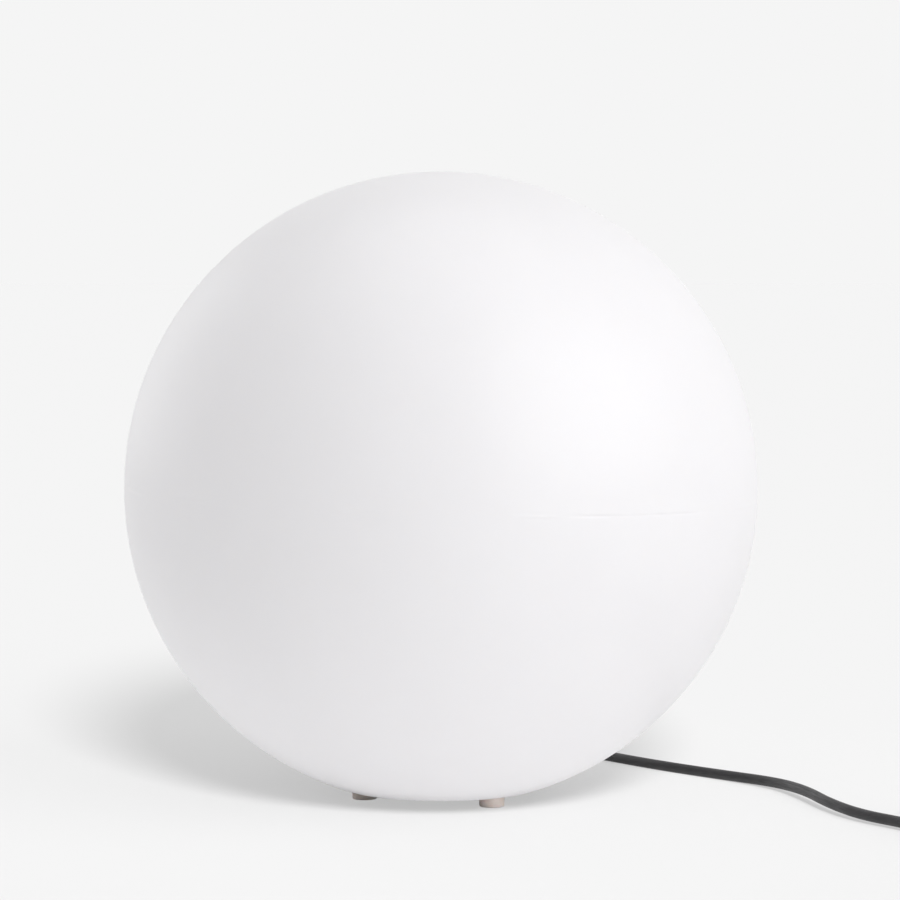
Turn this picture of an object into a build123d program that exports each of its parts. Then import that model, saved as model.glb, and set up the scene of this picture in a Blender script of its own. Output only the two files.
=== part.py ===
from build123d import *
import os
from math import atan2, ceil, cos, degrees, pi, radians, sin, sqrt, tan

# Garden globe light: an opal plastic ball that stands on three rubber feet, with a lampholder and
# bulb on a turret inside it, and a rubber mains cable that ends in a two-pin plug.
# Millimetres. Z is up, the floor is Z = 0 and the ball's axis is the Z axis.

# ---- driving dimensions -------------------------------------------------------------------------

# globe
globe_radius = 200.0          # outer radius of the ball
globe_wall = 3.0              # wall of the moulding
mouth_radius = 41.0           # opening that passes over the bulb
flange_width = 20.0           # inward flange that the base plate meets, from its recess to the mouth
flange_thickness = 3.0
lip_wall = 3.0                # wall round the recess, out to the rim where the ball is cut flat
rim_height = 7.5              # the flat rim above the floor
rim_round = 0.8               # rounding of the rim's outer edge
seam_height = 0.35            # moulding parting line, how far it stands out
seam_width = 1.2
boss_radius = 6.5             # blind boss over each insert
boss_roof = 3.5               # boss above the insert
insert_radius = 3.3
insert_length = 9.0

# feet and their screws
foot_count = 3
first_foot_angle = -49.7      # degrees from +X, the front right foot
foot_radius = 8.0
foot_height = 8.5
foot_edge = 0.7               # rounding of the foot's lower edge
foot_recess_radius = 4.5      # counterbore for washer and screw head
foot_recess_depth = 5.0
washer_radius = 4.2
washer_thickness = 0.8
foot_screw_radius = 2.0       # M4
foot_screw_length = 19.0
head_radius = 3.6
head_height = 2.4
slot_width = 1.0              # driver slot in every screw head
slot_depth = 0.9

# base plate and turret
plate_thickness = 4.0
plate_gap = 0.5               # radial gap of the plate in its recess, and of its ring in the mouth
locating_ring_wall = 2.5
locating_ring_height = 6.0
groove_start = 1.6            # gasket groove beyond the mouth
groove_width = 3.6
groove_depth = 2.0
groove_land = 0.75            # between the groove and the holes for the foot screws
turret_foot_radius = 30.0     # outside, at the plate
turret_top_radius = 24.0      # outside, at the roof
turret_wall = 3.0
turret_height = 66.5          # plate top to roof top
roof_thickness = 3.0
gusset_count = 6
gusset_gap = 1.0              # gussets stop short of the locating ring
gusset_height = 36.0
gusset_thickness = 2.4

# cable, sleeve and route
cable_diameter = 6.6          # two-core rubber sheath
sleeve_length = 22.0          # tapered part below the roof
sleeve_tip_wall = 1.2
sleeve_root_radius = 8.5
sleeve_neck_radius = 6.0      # where it passes through the roof
sleeve_flange_thickness = 2.0
exit_angle = first_foot_angle + 1.5 * 360 / foot_count   # midway between two feet

# lampholder
cup_radius = 23.0
cup_wall = 2.5
cup_height = 35.0
cup_floor = 3.0
holder_screw_spacing = 30.0
holder_screw_radius = 1.75
holder_screw_length = 13.0
holder_boss_radius = 4.0
holder_boss_height = 9.0
clamp_width = 21.0
clamp_height = 8.0
clamp_thickness = 4.0
clamp_screw_spacing = 15.0
clamp_screw_radius = 1.4
clamp_pad_depth = 6.5
clamp_rise = 1.0              # clamp above the cup's floor
clamp_screw_grip = 3.5        # of each clamp screw in the pad
blind_end = 1.0               # wall beyond a blind screw hole
small_head_radius = 2.6
small_head_height = 1.6
sheath_length_inside = 14.0   # sheathed cable above the cup's underside
core_radius = 1.1
core_spacing = 2.8
core_straight = 3.4           # of each core, out of the sheath and into its terminal
terminal_size = 7.0
terminal_depth = 8.0
terminal_roof = 2.0           # metal above the wire hole
terminal_spacing = 20.0
terminal_screw_radius = 1.5
terminal_head_radius = 2.1
terminal_head_height = 1.2
insert_plug_height = 4.0      # part of the ceramic insert inside the cup
insert_flange_height = 3.0
insert_neck_height = 3.0
insert_neck_radius = 16.0
holder_shell_height = 27.0
holder_lip_radius = 15.5
holder_lip_height = 3.0
holder_lip_chamfer = 1.0
contact_radius = 13.7         # bore of the threaded contact, taken at its crest line
contact_wall = 0.6
contact_height = 20.0
contact_foot = 2.5            # inward foot on the insert
leaf_rise = 2.7               # centre contact above the insert
leaf_width = 5.0
leaf_foot = (-9.0, -5.0)      # along the leaf, where it lies on the insert
leaf_top = (-1.0, 4.0)        # along the leaf, where the bulb's tip meets it
leaf_shift = 0.3              # bend's outer side beside its inner side

# bulb, 60 mm diameter and 108 mm long, with a 27 mm screw cap
bulb_radius = 30.0
bulb_length = 108.0
bulb_tip_radius = 4.8
bulb_tip_height = 1.5
bulb_insulator_height = 3.0
cap_radius = 13.2
cap_height = 20.5
cap_wall = 0.6
insulator_step = 0.6          # insulator wider than the tip
cap_rim_width = 3.0           # inward rim at the cap's lower edge
cap_rim_inset = 2.0           # insulator's foot inside the cap's radius
housing_foot_radius = 14.0
housing_step = 1.2            # housing widens by this over its foot
housing_step_height = 4.0
neck_drop = 19.0              # housing's mouth below the dome's centre
bulb_wall = 1.4
led_count = 12
led_size = 2.8
led_height = 0.7
led_ring_radius = 14.0
board_thickness = 1.6
board_recess = 1.0            # LED board below the housing's mouth
board_gap = 1.0               # radial, round the LED board
driver_width = 17.0
driver_foot = 6.0             # driver board above the cap's lower edge; its top meets the LED board
can_radius = 3.2              # capacitor
can_length = 7.0
can_place = (3.5, 9.0)        # across and up from the driver board's foot
choke_size = (6.0, 5.0, 7.0)
choke_place = (-3.0, 16.0)    # across and up from the driver board's foot

# put-away coil
coil_outer_radius = 43.4      # of the outermost turn's centre line
coil_pitch = 7.25             # between turns side by side
coil_layer_rise = 7.15        # between layers
coil_turns_per_layer = 2.0
coil_last_layer_turns = 1.5
coil_layers = 4
tie_thickness = 1.2
tie_width = 8.0
tie_slack = 1.5               # between the turns and the tie, at the sides
tie_corner = 1.8              # rounding inside
tie_angles = (60.0, 240.0)    # degrees from the coil's start
tail_runs = (30.0, 30.0, 24.0)   # level, down to the floor, into the plug

# plug with two round pins
plug_width = 37.0
plug_thickness = 27.0
plug_flange = 7.0
plug_body_length = 34.0
plug_boot_length = 26.0
plug_boot_radius = 8.0
boot_tip_wall = 1.4
boot_overlap = 4.0            # boot inside the grip
boot_ribs = 4
boot_rib_pitch = 5.0
boot_slot_width = 1.6
boot_slot_depth = 1.0
grip_start = (19.0, 16.0, 6.0)   # width, thickness and corner of the grip at the boot
grip_waist = (25.0, 21.0, 7.0)
grip_end = (31.0, 24.0, 9.0)
pin_radius = 2.4
pin_length = 19.0
pin_spacing = 19.0
pin_dome = 1.2                # rounding of the pin's end
pin_collar_radius = 3.0       # pin inside the bridge
bridge_width = 29.0
bridge_height = 13.0
bridge_depth = 3.0
bridge_corner = 4.0

# clearances
fit_gap = 0.05                # radial, for a fit within one assembly
hole_gap = 0.25               # radial, round a screw in a plain hole
groove_gap = 0.2              # radial, between the gasket and its groove
sleeve_gap = 0.5              # radial, round the sleeve's flange
soft_gap = 0.3                # between a soft piece and what it doesn't hold

# Free cable, from the sleeve's tip down through the turret's foot and along the floor. The first
# list is (distance from the Z axis along exit_angle, height), the second is (x, y, height).
drop_route = [(0.0, 30.6), (10.0, 13.3), (27.3, 3.3)]
floor_route = [
    (-30.6, 37.4, 3.3),
    (-46.0, 54.0, 3.3),
    (-68.0, 83.0, 3.3),
    (-82.0, 121.0, 3.3),
    (-77.0, 163.0, 3.3),
    (-52.0, 198.0, 3.3),
    (-13.0, 218.0, 3.3),
    (33.0, 216.0, 3.3),
    (74.0, 192.0, 3.3),
    (107.0, 154.0, 3.3),
    (146.0, 105.0, 3.3),
    (186.0, 64.0, 3.3),
    (217.0, 26.0, 4.6),
    (231.0, -18.0, 6.4),
    (240.0, -62.0, 6.0),
    (255.0, -97.0, 4.9),
    (277.0, -125.0, 4.8),
    (293.0, -151.0, 4.8),
]

# ---- places worked out from the dimensions above ------------------------------------------------

cable_radius = cable_diameter / 2
recess_radius = mouth_radius + flange_width
rim_radius = recess_radius + lip_wall
globe_centre = rim_height + sqrt(globe_radius**2 - rim_radius**2)
groove_inner_radius = mouth_radius + groove_start
groove_outer_radius = groove_inner_radius + groove_width
foot_ring_radius = groove_outer_radius + groove_land + hole_gap + foot_screw_radius
plate_bottom = foot_height
seat_height = plate_bottom + plate_thickness
flange_top = seat_height + flange_thickness
plate_radius = recess_radius - plate_gap
roof_top = seat_height + turret_height
roof_bottom = roof_top - roof_thickness
sleeve_tip = roof_bottom - sleeve_length
cup_top = roof_top + cup_height
insert_bottom = cup_top - insert_plug_height
holder_seat = cup_top + insert_flange_height
insert_top = holder_seat + insert_neck_height
sheath_top = roof_top + sheath_length_inside
bulb_tip_bottom = insert_top + leaf_rise + soft_gap
cap_bottom = bulb_tip_bottom + bulb_tip_height + bulb_insulator_height
housing_bottom = cap_bottom + cap_height
bulb_top = bulb_tip_bottom + bulb_length
bulb_centre = bulb_top - bulb_radius
envelope_bottom = bulb_centre - neck_drop
neck_radius = sqrt(bulb_radius**2 - neck_drop**2)
board_top = envelope_bottom - board_recess
plug_axis_height = plug_thickness / 2


# ---- helpers ------------------------------------------------------------------------------------

def disc(radius, low, high, x=0.0, y=0.0):
    """Upright cylinder from height low to height high."""
    return Pos(x, y, low) * Cylinder(radius, high - low, align=(Align.CENTER, Align.CENTER, Align.MIN))


def tube(outer, inner, low, high, x=0.0, y=0.0):
    """Upright tube from height low to height high."""
    return disc(outer, low, high, x, y) - disc(inner, low, high, x, y)


def block(x_size, y_size, low, high, x=0.0, y=0.0):
    """Box centred on (x, y), from height low to height high."""
    return Pos(x, y, low) * Box(x_size, y_size, high - low, align=(Align.CENTER, Align.CENTER, Align.MIN))


def spin(points):
    """Solid of revolution about Z from a closed outline of (radius, height) points."""
    outline = Polyline(*points, close=True)
    return revolve(Plane.XZ * make_face(outline), Axis.Z)


def screw(shank_radius, length, top_radius, top_height, x=0.0, y=0.0, head_at=0.0):
    """Upright screw that points up, with its slotted head below the height head_at."""
    body = disc(shank_radius, head_at, head_at + length, x, y)
    body += disc(top_radius, head_at - top_height, head_at, x, y)
    slot = block(2 * top_radius, slot_width, head_at - top_height, head_at - top_height + slot_depth, x, y)
    return body - slot


def turned(shape):
    """Turn a piece of the base about Z so that its own +X points to where the cable leaves."""
    return Rot(0, 0, exit_angle) * shape


def foot_places():
    """(x, y) of each foot on its ring."""
    step = 360 / foot_count
    angles = [radians(first_foot_angle + step * k) for k in range(foot_count)]
    return [(foot_ring_radius * cos(a), foot_ring_radius * sin(a)) for a in angles]


def corner_radii(points):
    """Largest tangent arc for each corner of a route: 0.45 of the shorter run over tan(half turn)."""
    radii = []
    for before, corner, after in zip(points, points[1:], points[2:]):
        run_in, run_out = corner - before, after - corner
        half_turn = radians(run_in.get_angle(run_out)) / 2
        radii.append(0.45 * min(run_in.length, run_out.length) / tan(half_turn))
    return radii


def cable_tube(points, name, radius=cable_radius):
    """Tube along straight runs joined by tangent arcs; prints its radii, length and volume."""
    radii = corner_radii(points)
    path = FilletPolyline(*points, radius=radii)
    section = Plane(points[0], z_dir=points[1] - points[0]) * Circle(radius)
    solid = sweep(section, path=path)
    print(name, "radii", [round(r) for r in radii], "least turn radius in diameters",
          round(min(radii) / (2 * radius), 1))
    print(name, "length", round(path.length, 1), "volume ratio",
          round(solid.volume / (pi * radius**2 * path.length), 4))
    return solid


parts = {}

# ---- globe --------------------------------------------------------------------------------------


def globe_shell():
    """One hollow ball with a flat rim, a recess for the base plate and three blind screw bosses."""
    inner_radius = globe_radius - globe_wall
    flange_outer = rim_radius
    flange_meets = globe_centre - sqrt(inner_radius**2 - flange_outer**2)
    outer_arc = ThreePointArc(
        (rim_radius, rim_height), (globe_radius, globe_centre), (0, globe_centre + globe_radius))
    inner_arc = ThreePointArc(
        (0, globe_centre + inner_radius), (inner_radius, globe_centre), (flange_outer, flange_meets))
    edges = Polyline(
        (flange_outer, flange_meets), (flange_outer, flange_top), (mouth_radius, flange_top),
        (mouth_radius, seat_height), (recess_radius, seat_height), (recess_radius, rim_height),
        (rim_radius, rim_height))
    crown = Line((0, globe_centre + globe_radius), (0, globe_centre + inner_radius))
    shell = revolve(Plane.XZ * make_face([outer_arc, crown, inner_arc, edges]), Axis.Z)
    rim_edge = [e for e in shell.edges().filter_by(GeomType.CIRCLE)
                if abs(e.radius - rim_radius) < 0.01 and abs(e.center().Z - rim_height) < 0.01]
    shell = fillet(rim_edge, rim_round)
    half = seam_width / 2
    foot, crest = globe_radius - seam_height, globe_radius + seam_height
    shell += spin([
        (foot, globe_centre - half), (crest, globe_centre - half / 3),
        (crest, globe_centre + half / 3), (foot, globe_centre + half)])
    for x, y in foot_places():
        shell += disc(boss_radius, seat_height, flange_top + insert_length + boss_roof, x, y)
        shell -= disc(foot_screw_radius + hole_gap, seat_height, flange_top, x, y)
        shell -= disc(insert_radius + fit_gap, flange_top, flange_top + insert_length + fit_gap, x, y)
    return shell


def shell_inserts():
    """Brass tubes that take the foot screws."""
    bore = foot_screw_radius + fit_gap
    return [tube(insert_radius, bore, flange_top, flange_top + insert_length, x, y)
            for x, y in foot_places()]


parts["globe_shell"] = globe_shell()
parts["shell_inserts"] = Compound(shell_inserts())

# ---- feet, screws and washers -------------------------------------------------------------------


def rubber_foot(x, y):
    """Short rubber cylinder with a counterbore that hides the screw head."""
    foot = disc(foot_radius, 0, foot_height, x, y)
    foot = fillet(foot.edges().group_by(Axis.Z)[0], foot_edge)
    foot -= disc(foot_recess_radius, 0, foot_recess_depth, x, y)
    return foot - disc(foot_screw_radius + hole_gap, 0, foot_height, x, y)


washer_low = foot_recess_depth - washer_thickness
washers, foot_screws = [], []
for number, (foot_x, foot_y) in enumerate(foot_places(), start=1):
    parts[f"rubber_foot_{number}"] = rubber_foot(foot_x, foot_y)
    washers.append(
        tube(washer_radius, foot_screw_radius + fit_gap, washer_low, foot_recess_depth, foot_x, foot_y))
    foot_screws.append(
        screw(foot_screw_radius, foot_screw_length, head_radius, head_height, foot_x, foot_y, washer_low))
parts["foot_washers"] = Compound(washers)
parts["foot_screws"] = Compound(foot_screws)

# ---- base plate, gasket and sleeve --------------------------------------------------------------


def base_plate():
    """Disc with a gasket groove, a locating ring, and a hollow turret with a roof and gussets."""
    ring_outer = mouth_radius - plate_gap
    ring_inner = ring_outer - locating_ring_wall
    plate = disc(plate_radius, plate_bottom, seat_height)
    plate -= tube(groove_outer_radius, groove_inner_radius, seat_height - groove_depth, seat_height)
    plate += tube(ring_outer, ring_inner, seat_height, seat_height + locating_ring_height)
    plate += spin([
        (0, plate_bottom), (turret_foot_radius, plate_bottom), (turret_foot_radius, seat_height),
        (turret_top_radius, roof_top), (0, roof_top)])
    for k in range(gusset_count):
        gusset = Polyline(
            (turret_top_radius - turret_wall, seat_height), (ring_inner - gusset_gap, seat_height),
            (turret_top_radius - turret_wall, seat_height + gusset_height), close=True)
        rib = extrude(Plane.XZ * make_face(gusset), gusset_thickness / 2, both=True)
        plate += Rot(0, 0, 360 / gusset_count * (k + 0.5)) * rib
    plate -= spin([
        (0, plate_bottom), (turret_foot_radius - turret_wall, plate_bottom),
        (turret_top_radius - turret_wall, roof_bottom), (0, roof_bottom)])
    plate -= disc(sleeve_neck_radius + fit_gap, roof_bottom, roof_top)
    for side in (-1, 1):
        hole_y = side * holder_screw_spacing / 2
        plate -= disc(holder_screw_radius + hole_gap, roof_bottom, roof_top, y=hole_y)
    plate = turned(plate)
    for x, y in foot_places():
        plate -= disc(foot_screw_radius + hole_gap, plate_bottom, seat_height, x, y)
    return plate


def base_gasket():
    """Soft ring in the plate's groove, its top just under the flange."""
    inner, outer = groove_inner_radius + groove_gap, groove_outer_radius - groove_gap
    return tube(outer, inner, seat_height - groove_depth, seat_height - soft_gap)


def cable_sleeve():
    """Tapered rubber sleeve, held in the roof by a flange above and its root below."""
    bore = cable_radius + fit_gap
    tip = bore + sleeve_tip_wall
    return spin([
        (bore, sleeve_tip), (tip, sleeve_tip), (sleeve_root_radius, roof_bottom),
        (sleeve_neck_radius, roof_bottom), (sleeve_neck_radius, roof_top),
        (sleeve_root_radius, roof_top), (sleeve_root_radius, roof_top + sleeve_flange_thickness),
        (bore, roof_top + sleeve_flange_thickness)])


parts["base_plate"] = base_plate()
parts["base_gasket"] = base_gasket()
parts["cable_sleeve"] = cable_sleeve()
parts["cable_inner"] = disc(cable_radius, sleeve_tip, sheath_top)

# ---- lampholder ---------------------------------------------------------------------------------

clamp_low = roof_top + cup_floor + clamp_rise
clamp_high = clamp_low + clamp_height
clamp_mid = (clamp_low + clamp_high) / 2
clamp_face = cable_radius + fit_gap


def holder_base():
    """Cup with two bosses for the fixing screws and a pad that the cord clamp presses against."""
    cup = tube(cup_radius, cup_radius - cup_wall, roof_top, cup_top)
    cup += tube(cup_radius, sleeve_root_radius + sleeve_gap, roof_top, roof_top + cup_floor)
    pad_x = clamp_face + clamp_pad_depth / 2
    boss_top = roof_top + cup_floor + holder_boss_height
    cup += block(clamp_pad_depth, clamp_width, roof_top, clamp_high, x=pad_x)
    for side in (-1, 1):
        boss_y = side * holder_screw_spacing / 2
        cup += disc(holder_boss_radius, roof_top, boss_top, y=boss_y)
        cup -= disc(holder_screw_radius + fit_gap, roof_top, boss_top - blind_end, y=boss_y)
        hole = Rot(0, 90, 0) * Cylinder(clamp_screw_radius + fit_gap, 2 * (clamp_pad_depth - blind_end))
        cup -= Pos(clamp_face, side * clamp_screw_spacing / 2, clamp_mid) * hole
    cup -= disc(sleeve_root_radius + sleeve_gap, roof_top, roof_top + sleeve_flange_thickness + soft_gap)
    return turned(cup)


def holder_screws():
    """Two screws up through the turret's roof into the cup's bosses."""
    return [turned(screw(holder_screw_radius, holder_screw_length, head_radius, head_height,
                         y=side * holder_screw_spacing / 2, head_at=roof_bottom)) for side in (-1, 1)]


def cord_clamp():
    """Bar that presses the sheath against the cup's pad."""
    bar_x = -(clamp_face + clamp_thickness / 2)
    bar = block(clamp_thickness, clamp_width, clamp_low, clamp_high, x=bar_x)
    for side in (-1, 1):
        hole = Rot(0, 90, 0) * Cylinder(clamp_screw_radius + hole_gap, 3 * clamp_thickness)
        bar -= Pos(bar_x, side * clamp_screw_spacing / 2, clamp_mid) * hole
    return turned(bar)


def clamp_screws():
    """Two level screws through the bar into the pad."""
    length = clamp_thickness + 2 * clamp_face + clamp_screw_grip
    upright = screw(clamp_screw_radius, length, small_head_radius, small_head_height)
    start = -(clamp_face + clamp_thickness)
    return [turned(Pos(start, side * clamp_screw_spacing / 2, clamp_mid) * Rot(0, 90, 0) * upright)
            for side in (-1, 1)]


def holder_insert():
    """Ceramic body: a plug in the cup's mouth, a flange on its edge and a neck for the contact."""
    body = disc(cup_radius - cup_wall - fit_gap, insert_bottom, cup_top)
    body += disc(cup_radius, cup_top, holder_seat)
    return body + disc(insert_neck_radius, holder_seat, insert_top)


def holder_shell():
    """Outer sleeve round the threaded contact, with a lip at its mouth."""
    high = holder_seat + holder_shell_height
    sleeve = tube(cup_radius, cup_radius - cup_wall, holder_seat, high - holder_lip_height)
    lip = tube(cup_radius, holder_lip_radius, high - holder_lip_height, high)
    lip = chamfer(lip.edges().group_by(Axis.Z)[-1], holder_lip_chamfer)
    return sleeve + lip


def screw_contact():
    """Thin metal shell that the bulb's cap screws into."""
    outer = contact_radius + contact_wall
    wall = tube(outer, contact_radius, insert_top, insert_top + contact_height)
    return wall + tube(outer, contact_radius - contact_foot, insert_top, insert_top + contact_wall)


def centre_contact():
    """Bent leaf that rises from the insert to the bulb's tip."""
    t = contact_wall
    low, high = insert_top, insert_top + leaf_rise
    (foot_start, foot_end), (top_start, top_end) = leaf_foot, leaf_top
    outline = Polyline(
        (foot_start, low), (foot_end, low), (top_start, high - t), (top_end, high - t), (top_end, high),
        (top_start - leaf_shift, high), (foot_end - leaf_shift, low + t), (foot_start, low + t), close=True)
    leaf = extrude(Plane.XZ * make_face(outline), leaf_width / 2, both=True)
    return turned(leaf)


terminal_low = insert_bottom - terminal_size
wire_depth = terminal_size - terminal_roof


def terminal_blocks():
    """Brass blocks under the insert, each with a wire hole from below and a screw hole in its side."""
    blocks = []
    for side in (-1, 1):
        y = side * terminal_spacing / 2
        brass = block(terminal_depth, terminal_size, terminal_low, insert_bottom, y=y)
        brass -= disc(core_radius + fit_gap, terminal_low, terminal_low + wire_depth, y=y)
        hole = Rot(0, 90, 0) * Cylinder(terminal_screw_radius + fit_gap, terminal_depth)
        brass -= Pos(-terminal_depth / 2, y, terminal_low + wire_depth / 2) * hole
        blocks.append(turned(brass))
    return blocks


def terminal_screws():
    """Screws that press each core in its block."""
    length = terminal_depth / 2 - core_radius - fit_gap
    upright = screw(terminal_screw_radius, length, terminal_head_radius, terminal_head_height)
    start = -terminal_depth / 2
    return [turned(Pos(start, side * terminal_spacing / 2, terminal_low + wire_depth / 2)
                   * Rot(0, 90, 0) * upright) for side in (-1, 1)]


def inner_core(side):
    """Insulated core from the cut sheath out and up into its terminal."""
    near, far = side * core_spacing / 2, side * terminal_spacing / 2
    points = [Vector(0, near, sheath_top), Vector(0, near, sheath_top + core_straight),
              Vector(0, far, terminal_low - core_straight), Vector(0, far, terminal_low + wire_depth)]
    radius = corner_radii(points)
    path = FilletPolyline(*points, radius=radius)
    section = Plane(points[0], z_dir=(0, 0, 1)) * Circle(core_radius)
    return turned(sweep(section, path=path))


parts["holder_base"] = holder_base()
parts["holder_screws"] = Compound(holder_screws())
parts["cord_clamp"] = cord_clamp()
parts["clamp_screws"] = Compound(clamp_screws())
parts["holder_insert"] = holder_insert()
parts["holder_shell"] = holder_shell()
parts["screw_contact"] = screw_contact()
parts["centre_contact"] = centre_contact()
parts["terminal_blocks"] = Compound(terminal_blocks())
parts["terminal_screws"] = Compound(terminal_screws())
parts["live_core"] = inner_core(1)
parts["neutral_core"] = inner_core(-1)

# ---- bulb ---------------------------------------------------------------------------------------


def bulb_envelope():
    """Opal dome: a ball of the bulb's radius cut at the housing's mouth."""
    ball = Pos(0, 0, bulb_centre) * (Sphere(bulb_radius) - Sphere(bulb_radius - bulb_wall))
    return ball - disc(2 * bulb_radius, bulb_centre - 2 * bulb_radius, envelope_bottom)


def bulb_housing():
    """Hollow white cone that widens from the cap to the dome."""
    low_in, high_in = housing_foot_radius - bulb_wall, neck_radius - bulb_wall
    step_top = housing_bottom + housing_step_height
    return spin([
        (low_in, housing_bottom), (housing_foot_radius, housing_bottom),
        (housing_foot_radius + housing_step, step_top), (neck_radius, envelope_bottom),
        (high_in, envelope_bottom), (low_in + housing_step, step_top)])


def bulb_leds():
    """Ring of emitters on the board."""
    step = 360 / led_count
    emitter = block(led_size, led_size, board_top, board_top + led_height, x=led_ring_radius)
    return [Rot(0, 0, step * k) * emitter for k in range(led_count)]


def bulb_driver():
    """Upright circuit board in the housing with its two tall components."""
    low = cap_bottom + driver_foot
    board = block(driver_width, board_thickness, low, board_top - board_thickness)
    can = Pos(can_place[0], board_thickness / 2, low + can_place[1]) * Rot(-90, 0, 0) * Cylinder(
        can_radius, can_length, align=(Align.CENTER, Align.CENTER, Align.MIN))
    width, depth, height = choke_size
    choke_low, choke_y = low + choke_place[1], -(board_thickness + depth) / 2
    choke = block(width, depth, choke_low, choke_low + height, x=choke_place[0], y=choke_y)
    return board + can + choke


tip_top = bulb_tip_bottom + bulb_tip_height
parts["bulb_tip"] = disc(bulb_tip_radius, bulb_tip_bottom, tip_top)
parts["bulb_insulator"] = spin([
    (0, tip_top), (bulb_tip_radius + insulator_step, tip_top),
    (cap_radius - cap_rim_inset, cap_bottom), (0, cap_bottom)])
parts["bulb_cap"] = tube(cap_radius, cap_radius - cap_wall, cap_bottom, housing_bottom) + tube(
    cap_radius, cap_radius - cap_rim_width, cap_bottom, cap_bottom + cap_wall)
parts["bulb_housing"] = bulb_housing()
parts["bulb_board"] = disc(neck_radius - bulb_wall - board_gap, board_top - board_thickness, board_top)
parts["bulb_leds"] = Compound(bulb_leds())
parts["bulb_driver"] = bulb_driver()
parts["bulb_envelope"] = bulb_envelope()

# ---- free cable ---------------------------------------------------------------------------------


def run_points():
    """The free cable's route from the sleeve's tip to the coil."""
    along = Vector(cos(radians(exit_angle)), sin(radians(exit_angle)), 0)
    drop = [along * distance + Vector(0, 0, height) for distance, height in drop_route]
    return [Vector(0, 0, sleeve_tip)] + drop + [Vector(*point) for point in floor_route]


run = run_points()
parts["cable_run"] = cable_tube(run, "cable_run")

# ---- put-away coil ------------------------------------------------------------------------------

tiny_angle = 1e-4             # radians, for headings
layer_sweep = 2 * pi * coil_turns_per_layer
per_radian = coil_pitch / (2 * pi)
coil_inner_radius = coil_outer_radius - per_radian * layer_sweep
coil_sweep = (coil_layers - 1) * (layer_sweep + pi) + 2 * pi * coil_last_layer_turns


def coil_place(angle):
    """Centre line about the coil's own axis: it spirals in and out at one rate, layer by layer, and
    climbs a layer in the half turn where the spiral reverses."""
    layer, swept = divmod(angle, layer_sweep + pi)
    climbed = max(swept - layer_sweep, 0.0)
    inward = min(swept, layer_sweep) + climbed - climbed**2 / pi
    if layer % 2:
        inward = layer_sweep - inward
    radius = coil_outer_radius - per_radian * inward
    height = coil_layer_rise * (layer + (1 - cos(climbed)) / 2)
    return Vector(radius * cos(angle), radius * sin(angle), height)


def coil_heading(angle):
    """Unit tangent of the centre line."""
    return (coil_place(angle + tiny_angle) - coil_place(angle)).normalized()


def biarc(start, start_heading, end, end_heading):
    """Two tangent arcs between two points with given headings."""
    chord = end - start
    both = start_heading + end_heading
    spread = 2 * (1 - start_heading.dot(end_heading))
    lean = chord.dot(both)
    reach = (-lean + sqrt(lean**2 + spread * chord.dot(chord))) / spread
    middle = (start + start_heading * reach + end - end_heading * reach) * 0.5
    first = Edge.make_tangent_arc(start, start_heading, middle)
    second = Edge.make_tangent_arc(middle, first % 1, end)
    return [first, second]


def coil_frame():
    """Where the coil's own axis stands, so that its first turn carries on the free cable's run."""
    lead = (run[-1] - run[-2]).normalized()
    first = coil_heading(0)
    yaw = degrees(atan2(lead.Y, lead.X) - atan2(first.Y, first.X))
    begin = run[-1] + lead * cable_diameter
    return Pos(begin) * Rot(0, 0, yaw) * Pos(-coil_outer_radius, 0, 0), lead


def coil_edges():
    """The straight lead in, the biarcs of a quarter turn, and the straight lead out."""
    steps = ceil(coil_sweep / (pi / 2) - 1e-6)
    angles = [k * pi / 2 for k in range(steps + 1)]
    edges = [Line(coil_place(0) - coil_heading(0) * cable_diameter, coil_place(0))]
    for a, b in zip(angles, angles[1:]):
        edges += biarc(coil_place(a), coil_heading(a), coil_place(b), coil_heading(b - 2 * tiny_angle))
    last = coil_place(angles[-1])
    out = coil_heading(angles[-1] - 2 * tiny_angle)
    return edges + [Line(last, last + out * cable_diameter)]


def coil_least_gap():
    """Least gap between turns, measured on points along the centre line."""
    step = 4
    places = [coil_place(radians(a)) for a in range(0, int(degrees(coil_sweep)) + 1, step)]
    apart = 180 // step
    return min((p - q).length for i, p in enumerate(places) for q in places[i + apart:]) - cable_diameter


def coil_tie(angle):
    """Flat band round the bundle of turns, upright across it."""
    inner = coil_inner_radius - cable_radius - tie_slack
    outer = coil_outer_radius + cable_radius + tie_slack
    low = -cable_radius - soft_gap
    high = coil_layer_rise * (coil_layers - 1) + cable_radius + soft_gap
    middle, width, height = (inner + outer) / 2, outer - inner, high - low
    outside = Plane.XZ * RectangleRounded(
        width + 2 * tie_thickness, height + 2 * tie_thickness, tie_corner + tie_thickness)
    inside = Plane.XZ * RectangleRounded(width, height, tie_corner)
    band = extrude(outside - inside, tie_width / 2, both=True)
    return Rot(0, 0, angle) * Pos(middle, 0, (low + high) / 2) * band


coil_at, lead_in = coil_frame()
coil_path = Wire(coil_edges())
coil_solid = sweep(
    Plane(coil_path @ 0, z_dir=coil_path % 0) * Circle(cable_radius), path=coil_path)
print("cable_coil length", round(coil_path.length, 1), "volume ratio",
      round(coil_solid.volume / (pi * cable_radius**2 * coil_path.length), 4),
      "least gap", round(coil_least_gap(), 2), "inner radius", round(coil_inner_radius, 1))
parts["cable_coil"] = coil_at * coil_solid
parts["coil_ties"] = Compound([coil_at * coil_tie(angle) for angle in tie_angles])

# ---- tail and plug ------------------------------------------------------------------------------

coil_out = Vector(*(coil_at * Pos(coil_path @ 1)).position)
out_yaw = radians((coil_at.orientation.Z)) + atan2((coil_path % 1).Y, (coil_path % 1).X)
out_heading = Vector(cos(out_yaw), sin(out_yaw), 0)
tail_drop = coil_out.Z - plug_axis_height


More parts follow.
